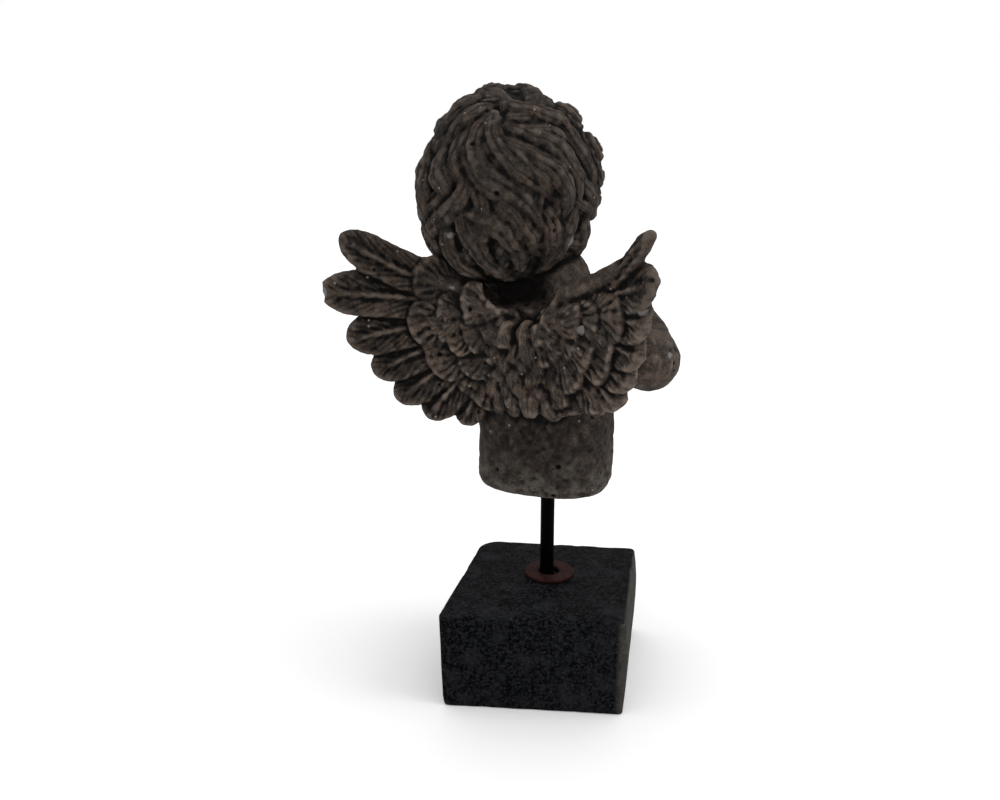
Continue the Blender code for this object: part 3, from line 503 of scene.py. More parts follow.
def face(gap, x, y, z):
    """A calm child's face in the head's axes, on plain proportions.

    Sockets are hollowed, eyeballs set in with lids as thin shells left open between two arcs. Nose,
    brows and lips are limbs along a few points, and the mouth is a thin channel.
    """
    for side in (-1, 1):
        gap = away(gap, egg(x - 8.0 * side, y - 27.0, z - 2.2, (5.4, 3.7, 3.5)), 2.4)
        right, up = x - 8.0 * side, z - 1.2
        ball = np.sqrt(right ** 2 + (y - 19.6) ** 2 + up ** 2)
        arc = np.clip(1 - (right / 4.3) ** 2, 0, 1)
        opening = np.maximum(up - 0.7 * arc, -1.7 * arc - up)
        gap = join(gap, ball - 4.4, 0.5)
        gap = join(gap, np.maximum(ball - 5.0, -opening), 0.5)
        brow = ((3.2 * side, 25.6, 7.2), (7.6 * side, 24.8, 8.2), (12.6 * side, 21.6, 6.2))
        gap = join(gap, limb(x, y, z, brow, (0.8, 1.0, 0.7)), 2.4)
    nose = ((0, 25.0, 3.4), (0, 26.6, -0.6), (0, 28.8, -4.4))
    gap = join(gap, limb(x, y, z, nose, (1.2, 1.5, 2.0)), 2.0)
    gap = join(gap, egg(x, y - 29.0, z + 4.9, (2.3, 2.2, 2.1)), 1.0)
    for side in (-1, 1):
        gap = join(gap, egg(x - 2.5 * side, y - 27.0, z + 5.7, (1.8, 2.2, 1.5)), 0.8)
        gap = away(gap, egg(x - 1.3 * side, y - 28.4, z + 7.4, (0.6, 0.9, 0.6)), 0.4)
    upper_lip = both_ways((4.8, 24.1, -10.7), (1.8, 26.1, -10.0), (0, 26.3, -10.4))
    gap = join(gap, limb(x, y, z, upper_lip, (0.4, 1.1, 1.0, 1.1, 0.4)), 0.9)
    gap = join(gap, limb(x, y, z, both_ways((3.8, 24.3, -11.4), (0, 25.9, -12.5)), (0.4, 1.4, 0.4)), 0.9)
    mouth = both_ways((5.2, 24.9, -10.9), (1.6, 27.0, -11.0), (0, 27.3, -11.3))
    gap = away(gap, limb(x, y, z, mouth, (0.2, 0.32, 0.32, 0.32, 0.2)), 0.5)
    return away(gap, egg(x, y - 27.0, z + 15.2, (3.0, 1.3, 1.1)), 1.8)


def add_head(stone):
    """The head under its hair: distance from its centre, less the radius in that direction, and the face."""
    cuts, x, y, z = stone.room(HEAD_CENTRE - 31, HEAD_CENTRE + 31)
    x, y, z = x - HEAD_CENTRE[0], y - HEAD_CENTRE[1], z - HEAD_CENTRE[2]
    x, y, z = (x * HEAD[0][i] + y * HEAD[1][i] + z * HEAD[2][i] for i in range(3))
    x, y, z = (v.astype(F) for v in (x, y, z))
    away_from = np.maximum(np.sqrt(x * x + y * y + z * z), 1e-3)
    gap = away_from - head_radius((x / away_from, y / away_from, z / away_from)).astype(F)
    front = y.max(axis=(0, 2)) > 12
    first = int(np.argmax(front))
    gap[:, first:] = face(gap[:, first:], x[:, first:], y[:, first:], z[:, first:])
    stone.add(cuts, gap, 2.0)


def head_points(directions, lift):
    """Figure positions on the head in rows of directions, raised by lift, and the outward directions."""
    d = unit(directions)
    radius = head_radius((d[:, 0], d[:, 1], d[:, 2])) + lift
    return HEAD_CENTRE + (d * radius[:, None]) @ HEAD.T, d @ HEAD.T


def crown_directions(polar, azimuth):
    """Directions at an angle from the crown; azimuth 0 runs down the back and grows to the right."""
    back = np.array((0, -0.72, -0.62))
    down = unit(back - CROWN * (CROWN @ back))
    right = unit(np.cross(down, CROWN))
    right = right if right[0] > 0 else -right
    around = down * np.cos(azimuth)[:, None] + right * np.sin(azimuth)[:, None]
    return CROWN * np.cos(polar)[:, None] + around * np.sin(polar)[:, None]


def add_lock(stone, path, outward, radii, ridges, phase, groove=0.16, blend=0.75):
    """A lock of hair as stretches of a flattened tube.

    Round the tube the radius follows the size of a cosine, which gives rounded strands with sharp
    grooves between them, and the grooves fade and return along the lock. Each stretch reads its axes
    between those at its two ends.
    """
    ahead = unit(np.gradient(path, axis=0))
    across = unit(np.cross(ahead, outward))
    out = np.cross(across, ahead)
    for k in range(len(path) - 1):
        a, b, reach = path[k], path[k + 1], max(radii[k], radii[k + 1]) * 1.15
        cuts, x, y, z = stone.room(np.minimum(a, b) - reach, np.maximum(a, b) + reach, 1.2)
        x, y, z = x - F(a[0]), y - F(a[1]), z - F(a[2])
        step = (b - a).astype(F)
        t = np.clip((x * step[0] + y * step[1] + z * step[2]) / F(step @ step), 0, 1)
        x, y, z = x - t * step[0], y - t * step[1], z - t * step[2]
        u, v, w = (sum(at * (m[k][i] + t * (m[k + 1][i] - m[k][i])).astype(F)
                       for i, at in enumerate((x, y, z))) for m in (across, out, ahead))
        along = (k + t).astype(F)
        turn = ridges * np.arctan2(u, v) + F(phase) + 0.45 * np.sin(0.8 * along + F(phase))
        radius = F(radii[k]) + t * F(radii[k + 1] - radii[k])
        fade = 0.72 + 0.28 * np.sin(0.55 * along + 0.7 * np.sin(turn) + F(2 * phase))
        ridge = 1 - groove * fade * (1 - np.abs(np.cos(turn)))
        gap = np.sqrt((u / 1.08) ** 2 + (v / 0.82) ** 2 + w * w) - radius * ridge
        stone.add(cuts, gap * 0.9, blend, turn * F(2 / math.pi) + 1, fade)


def add_hair(stone, draw):
    """Wavy locks from the crown in two layers, loose ones over them, and the locks on top at the back."""
    layers = [(0.95, 2.40, 2.9, 0.5, -2.3)] * LOCKS + [(0.16, 2.45, 3.4, 0.0, -0.9)] * LOCKS
    for k, (start, end, radius, share, level) in enumerate(layers):
        azimuth = (2 * math.pi * ((k % LOCKS) + share) / LOCKS + math.pi) % (2 * math.pi) - math.pi
        first = start + 0.1 * (k % 3)
        t = np.linspace(0, 1, 34)
        size = radius * draw.uniform(0.86, 1.16) * (0.52 + 0.48 * np.sin(math.pi * np.minimum(1, 0.15 + t)))
        lift = 0.2 + level + draw.uniform(-0.6, 0.6) + 0.5 * np.sin(3 * azimuth + 7 * t)
        run_lock(stone, draw, azimuth, first, end, t, size, lift)
    for k in range(LOOSE_LOCKS):
        azimuth, first = (1.25 + 0.25 * k) * (-1) ** k, 0.35 + 0.45 * (k % 3) + draw.uniform(-0.1, 0.1)
        t = np.linspace(0, 1, 16)
        size = draw.uniform(2.4, 3.3) * np.sin(math.pi * (0.10 + 0.86 * t)) ** 0.7
        run_lock(stone, draw, azimuth, first, first + draw.uniform(0.5, 0.95), t, size, 0.6 + 0 * t)
    for size, lift, *directions in BACK_LOCKS:
        path, _ = bend_through(directions, (1.0, 1.0), 22)
        t = np.linspace(0, 1, len(path))
        points, outward = head_points(path, lift - 1.3 + 0.9 * np.sin(math.pi * t))
        radii = 1.1 * size * np.sin(math.pi * (0.12 + 0.80 * t)) ** 0.6
        add_lock(stone, points, outward, radii, draw.choice((3.0, 3.5, 4.0)), draw.uniform(0, 3), 0.15, 0.5)
    for side in (-1, 1):
        stone.add_ball(HEAD_CENTRE + HEAD @ (17.0 * side, 1.0, -14.5), (7.5, 9.0, 8.5), 1.5)


def run_lock(stone, draw, azimuth, first, end, t, size, lift):
    """Lay one lock between two angles from the crown, as far as the hairline.

    It swings from side to side, and at the back it drifts to the figure's right as it runs down.
    """
    polar = first + (end - first) * t
    swing = 0.22 + 0.06 * math.sin(5 * azimuth)
    phase = 0.8 * math.sin(2 * azimuth) + draw.uniform(-0.2, 0.2)
    wave = swing * np.sin(3.0 * math.pi * t * (end - first) / 2.2 - 0.7 + phase)
    drift = 0.60 * ease(azimuth, -1.6, -0.3) * (1 - ease(azimuth, 1.2, 2.5)) * ease(polar, 0.2, 1.5)
    d = crown_directions(polar, azimuth + drift + wave / np.maximum(np.sin(polar), 0.35))
    angle = np.arccos(np.clip(d @ FACE_AXIS, -1, 1))
    bald = (angle < hairline(d[:, 2])) | (d[:, 2] < -0.95)
    last = int(np.argmax(bald)) if bald.any() else len(t)
    ridges, phase = draw.choice((2.5, 3.0, 3.5)), draw.uniform(0, 3)
    if last > 4:
        points, outward = head_points(d[:last], lift[:last])
        add_lock(stone, points, outward, size[:last], ridges, phase)


def add_curl(stone, centre, outward, size, hand):
    """A flat ball with a groove wound on it as a spiral: half a turn of phase for each turn round it."""
    cuts, x, y, z = stone.room(centre - size, centre + size, 1.5)
    x, y, z = x - centre[0], y - centre[1], z - centre[2]
    first = unit(np.cross(outward, (0.2, 0.3, 1.0)))
    second = np.cross(outward, first)
    u, v, w = (x * m[0] + y * m[1] + z * m[2] for m in (first, second, outward))
    around = np.hypot(u, v)
    turns = np.arctan2(v, u) * 0.5 * hand + 1.35 * around
    gap = np.sqrt(u * u + v * v + (w / 0.92) ** 2) - size + 0.85 * (1 - np.abs(np.cos(turns)))
    stone.add(cuts, gap.astype(F), 0.3, (around * 1.6).astype(F), 0.6)


def add_curls(stone):
    """Curls set round the face by their turn about its axis, and heaped locks on top of the head."""
    side = np.array((1.0, 0.0, 0.0))
    up = unit(np.cross(side, FACE_AXIS))
    for k, (degrees, size, lift) in enumerate(FACE_CURLS):
        turn = math.radians(degrees)
        tilt = BROW_HAIRLINE + 0.08 + (0.11 if abs(degrees - 15) < 60 else 0.0)
        d = FACE_AXIS * math.cos(tilt) + (side * math.cos(turn) + up * math.sin(turn)) * math.sin(tilt)
        centre, outward = (rows[0] for rows in head_points(d[None], np.array((lift,))))
        add_curl(stone, centre, outward, size, 1 if k % 2 else -1)
    for *d, size, lift in HEAPED_CURLS:
        centre, outward = (rows[0] for rows in head_points(np.array(d)[None], np.array((lift,))))
        add_curl(stone, centre, outward, size, 1)


# Arms, violin and bow

def add_arms(stone):
    """Both arms with round elbows and shoulders, and the stone that fills the undercuts."""
    for centre, radii in FILLINGS:
        stone.add_ball(centre, radii, 3.0)
    for shoulder in SHOULDERS:
        stone.add_ball(shoulder, SHOULDER_RADII, 2.5)
    for arm in (RIGHT_ARM, LEFT_ARM):
        stone.add_limb(*bend_through(arm, ARM_RADII, 20), 2.0)
    stone.add_ball(ELBOW, ELBOW_RADII, 2.0)


def add_hand(stone, wrist, hand):
    """A small closed hand: a palm and four bent fingers side by side."""
    palm, knuckles, reach, spread, curl = np.array(hand, float)
    stone.add_ball(palm, PALM_RADII, 1.5)
    stone.add_limb((wrist, palm), WRIST_RADII, 1.5)
    for k in range(4):
        root = knuckles + spread * (k - 1.5)
        stone.add_limb(*bend_through((palm, root, root + reach, root + reach + curl), FINGER_RADII, 10), 0.5)


def violin_axes():
    """Axes across the violin, along its neck and out of its front."""
    along = unit(VIOLIN_SCROLL - VIOLIN_TAIL)
    across = unit(np.cross(along, VIOLIN_FRONT))
    return across, along, np.cross(across, along)


def add_violin(stone):
    """Violin: a bouted outline with arched plates that stand proud of the ribs, neck, strings and scroll."""
    across, along, out = violin_axes()
    length = float(np.linalg.norm(VIOLIN_SCROLL - VIOLIN_TAIL))
    ends = np.array((VIOLIN_TAIL, VIOLIN_SCROLL))
    cuts, x, y, z = stone.room(ends.min(0) - 12, ends.max(0) + 12)
    x, y, z = x - VIOLIN_TAIL[0], y - VIOLIN_TAIL[1], z - VIOLIN_TAIL[2]
    u, s, v = ((x * m[0] + y * m[1] + z * m[2]).astype(F) for m in (across, along, out))
    t = np.clip(s / VIOLIN_BODY, 0, 1)
    bouts = 0.40 - 0.075 * t - 0.13 * np.exp(-((t - 0.56) / 0.10) ** 2) \
        + 0.10 * np.exp(-((t - 0.26) / 0.20) ** 2) + 0.06 * np.exp(-((t - 0.80) / 0.14) ** 2)
    half = VIOLIN_WIDTH * bouts * np.sqrt(np.clip(1 - (2 * t - 1) ** 8, 0, 1))
    plan = np.maximum(np.abs(u) - half, np.maximum(-s, s - VIOLIN_BODY)) * 0.9
    arch = VIOLIN_DEPTH / 2 + 0.5 * np.clip(1 - (u / np.maximum(half, 1)) ** 2, 0, 1)
    body = np.maximum(plan, np.abs(v) - arch)
    ribs = np.maximum(-(plan + 0.8), np.abs(v) - (VIOLIN_DEPTH / 2 - 0.9))
    body = np.maximum(body, -np.maximum(ribs, plan - 2.0))
    for side in (-1, 1):
        hole = limb(u, s, v, ((3.4 * side, 10.0, 3.5), (4.6 * side, 13.0, 3.5), (3.8 * side, 17.0, 3.5),
                              (4.8 * side, 19.5, 3.5)), (0.8, 0.5, 0.5, 0.8))
        body = away(body, hole, 0.2)
    top = VIOLIN_DEPTH / 2
    neck = limb(u, s, v, ((0, VIOLIN_BODY - 6, top * 0.6), (0, length, top * 0.6)), (2.3, 1.9))
    board = np.maximum(np.maximum(np.abs(u) - 1.9, np.abs(v - top - 0.7) - 0.9),
                       np.maximum(VIOLIN_BODY * 0.55 - s, s - length + 2))
    strings = np.minimum(np.abs(np.abs(u) - 0.5), np.abs(np.abs(u) - 1.5))
    strings = np.maximum(np.hypot(strings, v - top - 1.9) - 0.42,
                         np.maximum(VIOLIN_BODY * 0.12 - s, s - length + 1))
    bridge = np.maximum(np.maximum(np.abs(u) - 3.6, np.abs(s - VIOLIN_BODY * 0.42) - 0.8),
                        np.abs(v - top) - 1.7)
    tail = np.maximum(np.maximum(np.abs(u) - 0.9 - 0.12 * s, np.abs(v - top - 0.8) - 0.7),
                      np.maximum(1.0 - s, s - VIOLIN_BODY * 0.30))
    turns = np.hypot(s - length, v - 0.5)
    scroll = egg(u, s - length, v - 0.5, (3.2, 3.6, 3.2)) + 0.5 * (1 - np.abs(np.cos(
        np.arctan2(v - 0.5, s - length) / 2 + 1.3 * turns)))
    pegs = np.maximum(np.hypot(np.abs(s - length + 4.6) - 1.4, v - 0.8) - 0.75, np.abs(u) - 4.4)
    gap = join(join(body, neck, 0.6), scroll, 0.6)
    for form in (board, strings, bridge, tail, pegs):
        gap = join(gap, form, 0.2)
    stone.add(cuts, gap.astype(F), 0.4)


def add_playing_hands(stone):
    """The hand on the bow, the hand on the neck, and the bow with its hair and its heel."""
    add_hand(stone, RIGHT_ARM[-1], RIGHT_HAND)
    add_hand(stone, LEFT_ARM[-1], LEFT_HAND)
    middle = (BOW_HEEL + BOW_TIP) / 2
    stone.add_limb(*bend_through((BOW_HEEL, middle + (0, 0.8, 0.8), BOW_TIP), (1.7, 1.5, 1.3), 10), 0.4)
    stone.add_limb((BOW_HEEL + BOW_HAIR_DROP, BOW_TIP + BOW_HAIR_DROP * 0.6), (0.9, 0.8), 0.2)
    stone.add_ball(BOW_HEEL + BOW_HAIR_DROP * 0.6, (2.2, 1.8, 2.4), 0.4)


# Wear

def ripple(stone, spacing, draw):
    """Smooth random heights from -1 to 1 on the whole grid: a coarse lattice read between its nodes."""
    reads = []
    for axis in stone.axes:
        at = (axis - axis[0]) / spacing
        base = at.astype(int)
        share = ease(at - base, 0, 1)
        read = np.zeros((len(axis), base[-1] + 2), F)
        read[np.arange(len(axis)), base] = 1 - share
        read[np.arange(len(axis)), base + 1] = share
        reads.append(read)
    lattice = draw.uniform(-1, 1, [read.shape[1] for read in reads]).astype(F)
    lattice = (reads[0] @ lattice.reshape(len(lattice), -1)).reshape(-1, *lattice.shape[1:])
    return (reads[1] @ lattice) @ reads[2].T


def wear(stone, draw):
    """Uneven casting skin, rougher in hair and feathers and calmer on the face, and pores of trapped air."""
    x, y, z = (axis.reshape([-1 if i == k else 1 for i in range(3)]) for k, axis in enumerate(stone.axes))
    cheek = HEAD_CENTRE + HEAD @ (0, 25, -5)
    from_face = np.sqrt((x - F(cheek[0])) ** 2 + (y - F(cheek[1])) ** 2 + (z - F(cheek[2])) ** 2)
    calm = 0.25 + 0.75 * ease(from_face, 11, 19)
    for spacing, depth in CASTING_SKIN:
        stone.gap += F(depth) * calm * ripple(stone, spacing, draw)
    stone.gap += F(0.36) * stone.comb ** 2 * ripple(stone, 2.4, draw)
    coarse = stone.gap[::2, ::2, ::2]
    skin = np.argwhere((np.abs(coarse) < stone.step) & (draw.random(coarse.shape) < 0.03))[1:] * 2
    skin = skin[(from_face[tuple(skin.T)] > 17) & (skin.min(1) > 1)]
    skin = skin[draw.random(len(skin)) > 0.75 * stone.comb[tuple(skin.T)]]
    for i, j, k in skin[draw.permutation(len(skin))[:PORES]]:
        gap = stone.gap
        slope = np.array((gap[i + 1, j, k] - gap[i - 1, j, k], gap[i, j + 1, k] - gap[i, j - 1, k],
                          gap[i, j, k + 1] - gap[i, j, k - 1]), float)
        size = draw.uniform(0.35, 0.65) if draw.random() < 0.85 else draw.uniform(0.7, 1.0)
        radii = size * draw.uniform(0.8, 1.5, 3)
        centre = stone.low + np.array((i, j, k)) * stone.step
        centre = centre + slope / max(np.linalg.norm(slope), 0.1) * size * 0.3
        cuts, px, py, pz = stone.room(centre - radii, centre + radii, 0.8)
        pore = egg(px - centre[0], py - centre[1], pz - centre[2], radii).astype(F)
        gap[cuts] = away(gap[cuts], pore, 0.3)


def finish_foot(stone):
    """Cut the foot flat and bore the blind hole for the rod."""
    z = stone.axes[2][None, None, :]
    stone.gap = np.maximum(stone.gap, F(FOOT) - z)
    cuts, x, y, z = stone.room((-4, -4, -5), (4, 4, ROD_HOLE_TOP))
    hole = np.maximum(np.sqrt(x * x + y * y) - F(ROD_HOLE_RADIUS), z - F(ROD_HOLE_TOP))
    stone.gap[cuts] = np.maximum(stone.gap[cuts], -hole)


# From grid to mesh

def close_pinches(stone):
    """Fill the places where stone meets itself along one edge or at one corner of the grid only, so that
    the skin closes into one sheet: where the two diagonals of a grid square differ, its four corners become
    stone, and where only the two ends of a cell's long diagonal are alike, its eight do."""
    inside = stone.gap < 0
    shape = inside.shape
    filled = -1
    while filled != inside.sum():
        filled = inside.sum()
        for first, second in ((0, 1), (1, 2), (0, 2)):
            corners = []
            for i, j in ((0, 0), (1, 1), (1, 0), (0, 1)):
                cut = [slice(None)] * 3
                cut[first] = slice(i, shape[first] - 1 + i)
                cut[second] = slice(j, shape[second] - 1 + j)
                corners.append(inside[tuple(cut)])
            a, b, c, d = corners
            pinched = (a == b) & (c == d) & (a != c)
            for corner in corners:
                corner |= pinched
        corners = [inside[tuple(slice(i, n - 1 + i) for i, n in zip(ends, shape))]
                   for ends in np.ndindex(2, 2, 2)]
        count = sum(corner.astype(np.int8) for corner in corners)
        for a, b in zip(corners[:4], corners[:3:-1]):
            pinched = (a & b & (count == 2)) | ~(a | b | (count != 6))
            for corner in corners:
                corner |= pinched
    stone.gap[inside & (stone.gap >= 0)] = -0.05 * stone.step


def skin_of(stone):
    """The surface where the distance is nought, as points and four-sided faces.

    Each cell that it crosses has one point, at the mean of the crossings on the cell's edges, and each
    edge that it crosses has one face round it.
    """
    gap = stone.gap
    inside = gap < 0
    shape = np.array(gap.shape)
    places, corners, flips = [], [], []
    for axis in range(3):
        low = [slice(None)] * 3
        high = [slice(None)] * 3
        low[axis], high[axis] = slice(0, -1), slice(1, None)
        crossing = np.argwhere(inside[tuple(low)] != inside[tuple(high)])
        step = np.zeros(3, int)
        step[axis] = 1
        start = gap[tuple(crossing.T)]
        end = gap[tuple((crossing + step).T)]
        place = crossing.astype(float)
        place[:, axis] += start / (start - end)
        first, second = np.zeros(3, int), np.zeros(3, int)
        first[(axis + 1) % 3], second[(axis + 2) % 3] = 1, 1
        round_edge = np.stack([crossing - first - second, crossing - second, crossing, crossing - first], 1)
        corners.append(np.ravel_multi_index(tuple(round_edge.reshape(-1, 3).T), shape).reshape(-1, 4))
        places.append(np.repeat(place, 4, axis=0))
        flips.append(start < 0)
    corners, places, flips = np.concatenate(corners), np.concatenate(places), np.concatenate(flips)
    index = np.unique(corners.ravel(), return_inverse=True)[1].ravel()
    count = np.bincount(index)
    points = np.stack([np.bincount(index, places[:, i]) / count for i in range(3)], 1)
    quads = index.reshape(-1, 4)
    quads = np.where(flips[:, None], quads, quads[:, ::-1])
    return points * stone.step + stone.low, quads


def largest_shell(points, faces):
    """Keep the largest piece that hangs together: each point takes the lowest label beside it in turn."""
    label = np.arange(len(points))
    ends = np.concatenate([faces[:, (k, (k + 1) % 4)] for k in range(4)])
    while True:
        lowest = np.minimum(label[ends[:, 0]], label[ends[:, 1]])
        new = label.copy()
        np.minimum.at(new, ends[:, 0], lowest)
        np.minimum.at(new, ends[:, 1], lowest)
        new = new[new]
        if np.array_equal(new, label):
            break
        label = new
    keep = np.bincount(label).argmax()
    faces = faces[label[faces[:, 0]] == keep]
    used, index = np.unique(faces.ravel(), return_inverse=True)
    return points[used], index.reshape(-1, 4)


def mesh_of(name, points, faces):
    """A mesh from rows of points and rows of equal-sided faces."""
    mesh = bpy.data.meshes.new(name)
    mesh.vertices.add(len(points))
    mesh.vertices.foreach_set("co", np.ascontiguousarray(points, F).ravel())
    mesh.loops.add(faces.size)
    mesh.loops.foreach_set("vertex_index", np.ascontiguousarray(faces, np.int32).ravel())
    mesh.polygons.add(len(faces))
    mesh.polygons.foreach_set("loop_start", np.arange(0, faces.size, faces.shape[1], dtype=np.int32))
    mesh.update(calc_edges=True)
    mesh.validate()
    mesh.shade_smooth()
    return mesh


def points_of(mesh):
    """Rows of a mesh's points."""
    points = np.empty(len(mesh.vertices) * 3, F)
    mesh.vertices.foreach_get("co", points)
    return points.reshape(-1, 3)


def piece_of(name, mesh, material):
    """An object at the origin with one material."""
    piece = bpy.data.objects.new(name, mesh)
    bpy.context.scene.collection.objects.link(piece)
    mesh.materials.clear()
    mesh.materials.append(material)
    return piece


def thinned(mesh, triangles):
    """A copy of a mesh of four-sided faces with no more than so many triangles, flat places thinned first."""
    holder = bpy.data.objects.new("holder", mesh)
    bpy.context.scene.collection.objects.link(holder)
    thin = holder.modifiers.new("thin", "DECIMATE")
    thin.ratio = min(1.0, triangles / (2 * len(mesh.polygons)))
    evaluated = holder.evaluated_get(bpy.context.evaluated_depsgraph_get())
    made = bpy.data.meshes.new_from_object(evaluated)
    bpy.data.objects.remove(holder)
    bpy.data.meshes.remove(mesh)
    return made


def give(mesh, name, values):
    """Store one number at each point of a mesh."""
    mesh.attributes.new(name, "FLOAT", "POINT").data.foreach_set("value", np.ascontiguousarray(values, F))


def crowding(stone, reach):
    """How much stone lies within reach of each second grid node: under a half on ridges, over in hollows."""
    solid = np.clip(0.5 - stone.gap[::2, ::2, ::2] / (4 * stone.step), 0, 1)
    width = max(1, int(round(reach / (2 * stone.step))))
    for axis in (0, 1, 2, 0, 1, 2):
        pads = [(0, 0)] * 3
        pads[axis] = (width + 1, width)
        total = np.cumsum(np.pad(solid, pads, mode="edge"), axis=axis, dtype=np.float64)
        size = solid.shape[axis]
        upper = np.take(total, np.arange(2 * width + 1, 2 * width + 1 + size), axis=axis)
        lower = np.take(total, np.arange(size), axis=axis)
        solid = ((upper - lower) / (2 * width + 1)).astype(F)
    return solid


# Chips down to the bare stone, as (x, y, z, size)
CHIPS = ((*(HEAD_CENTRE + HEAD @ (-7.9, -27.3, -12.4)), 2.3),
         (*(HEAD_CENTRE + HEAD @ (24.5, -9.5, -18.8)), 3.4),
         (*wing_point(-1, 65.6, 67.0, -1.2), 3.6), (23.0, -24.0, 58.5, 2.2), (45.7, -32.0, 67.7, 2.4),
         (43.6, 0.5, 48.4, 1.8), (43.0, 1.5, 45.6, 1.5), (-24.0, -24.5, 68.2, 1.7), (-62.5, -28.5, 67.6, 1.5))
# Painted light: where the casting's colour is made lighter, on the back and wings and on the elbow, as (centre,
# full within, none beyond)
PAINTED_LIGHT = (((7.0, -25.0, 50.0), 37.0, 50.0), ((36.0, 4.0, 46.0), 6.0, 19.0))


def make_bust(material):
    """The casting: forms joined on the grid, worn, skinned, thinned and placed on its rod."""
    draw = np.random.default_rng(7)
    stone = Stone(GRID_LOW, GRID_HIGH, GRAIN)
    add_torso(stone)
    add_arms(stone)
    add_wing(stone, -1, LEFT_FLIGHT, LEFT_FAN, draw)
    add_wing(stone, 1, RIGHT_FLIGHT, RIGHT_FAN, draw)
    add_down(stone, draw)
    hollow_nape(stone)
    add_head(stone)
    add_hair(stone, draw)
    add_curls(stone)
    add_violin(stone)
    add_playing_hands(stone)
    wear(stone, draw)
    finish_foot(stone)
    close_pinches(stone)
    points, quads = largest_shell(*skin_of(stone))
    mesh = thinned(mesh_of("bust_stone", points, quads), BUST_TRIANGLES)
    points = points_of(mesh).astype(float)
    give(mesh, "hollow", stone.read(crowding(stone, 1.0), points, 2) * 2 - 1)
    give(mesh, "shelter", stone.read(crowding(stone, 4.0), points, 2) * 2 - 1)
    give(mesh, "lines", stone.read(stone.lines, points))
    give(mesh, "comb", stone.read(stone.comb, points))
    bare = np.zeros(len(points))
    for x, y, z, size in CHIPS:
        bare = np.maximum(bare, 1.6 - 1.6 * np.linalg.norm(points - (x, y, z), axis=1) / size)
    give(mesh, "bare", np.clip(bare, 0, 1))
    # Painted light: a mask that lightens the back, wings and elbow between two heights, as if lit there.
    painted_light = np.zeros(len(points))
    for centre, full, none in PAINTED_LIGHT:
        painted_light = np.maximum(painted_light, 1 - ease(np.linalg.norm(points - centre, axis=1), full, none))
    give(mesh, "painted_light", painted_light * ease(points[:, 2], 22, 31) * (1 - ease(points[:, 2], 68, 78)))
    placed = points @ turn_level(FIGURE_TURN).T * UNIT + (*ROD_AXIS, FIGURE_LEVEL)
    mesh.vertices.foreach_set("co", placed.astype(F).ravel())
    mesh.update()
    mesh.shade_smooth()
    return piece_of("bust_stone", mesh, material)


# Block, washer and rod

def noise_at(points, spacing, seed):
    """Smooth random heights from -1 to 1 at points: a hashed lattice read between its nodes."""
    table = np.random.default_rng(seed).uniform(-1, 1, 4096)
    at = np.asarray(points, float) / spacing
    base = np.floor(at).astype(int)
    share = ease(at - base, 0, 1)
    value = 0.0
    for i in (0, 1):
        for j in (0, 1):
            for k in (0, 1):
                spot = (base[..., 0] + i) * 73 + (base[..., 1] + j) * 179 + (base[..., 2] + k) * 283
                weight = (np.abs(1 - i - share[..., 0]) * np.abs(1 - j - share[..., 1])
                          * np.abs(1 - k - share[..., 2]))
                value = value + weight * table[(spot * spot + spot) % 4096]
    return value


def block_plan(inset):
    """Plan of the block: four slanted sides with rounded corners, as even steps along its outline."""
    x, y = BLOCK_WIDTH / 2 - inset, BLOCK_DEPTH / 2 - inset
    lean = y * math.sin(SIDE_SLANT)
    back, front = x * math.tan(BACK_SLANT), x * math.tan(FRONT_SLANT)
    corners = np.array([(x + lean, y + back / 2), (-x + lean / 2, y - back),
                        (-x - lean / 2, -y - front / 2), (x - lean, -y + front)])
    outline = []
    for k, corner in enumerate(corners):
        radius = (WORN_CORNER_RADIUS if k == 3 else CORNER_RADIUS) - inset * 0.5
        back, ahead = unit(corners[k - 1] - corner), unit(corners[(k + 1) % 4] - corner)
        half = math.acos(back @ ahead) / 2
        centre = corner + unit(back + ahead) * radius / math.sin(half)
        start = corner + back * radius / math.tan(half) - centre
        sweep = (math.pi - 2 * half) * np.linspace(0, 1, 13 if k == 3 else 7)
        outline.append(np.stack([centre[0] + start[0] * np.cos(sweep) - start[1] * np.sin(sweep),
                                 centre[1] + start[0] * np.sin(sweep) + start[1] * np.cos(sweep)], 1))
    arcs = []
    for k, arc in enumerate(outline):
        after = outline[(k + 1) % 4][0]
        share = np.linspace(0, 1, 50)[1:-1, None]
        arcs += [arc, arc[-1] * (1 - share) + after * share]
    return np.concatenate(arcs)


def closed_grid(rings, name):
    """Mesh of a stack of equal rings, with its two ends closed to their middles."""
    count = rings.shape[1]
    points = np.concatenate([rings.reshape(-1, 3), rings[0].mean(0)[None], rings[-1].mean(0)[None]])
    k = np.arange(count)
    after = (k + 1) % count
    rows = np.arange(len(rings) - 1)[:, None] * count
    a, b = rows + k, rows + after
    quads = np.stack([a, b, b + count, a + count], -1).reshape(-1, 4)
    halves = np.concatenate([quads[:, (0, 1, 2)], quads[:, (0, 2, 3)]])
    last = (len(rings) - 1) * count
    first_cap = np.stack([np.full(count, len(points) - 2), after, k], 1)
    last_cap = np.stack([np.full(count, len(points) - 1), last + k, last + after], 1)
    return mesh_of(name, points, np.concatenate([halves, first_cap, last_cap]))


def level_ring(plan, height):
    """The points of a plan at one height."""
    return np.column_stack([plan, np.full(len(plan), height)])


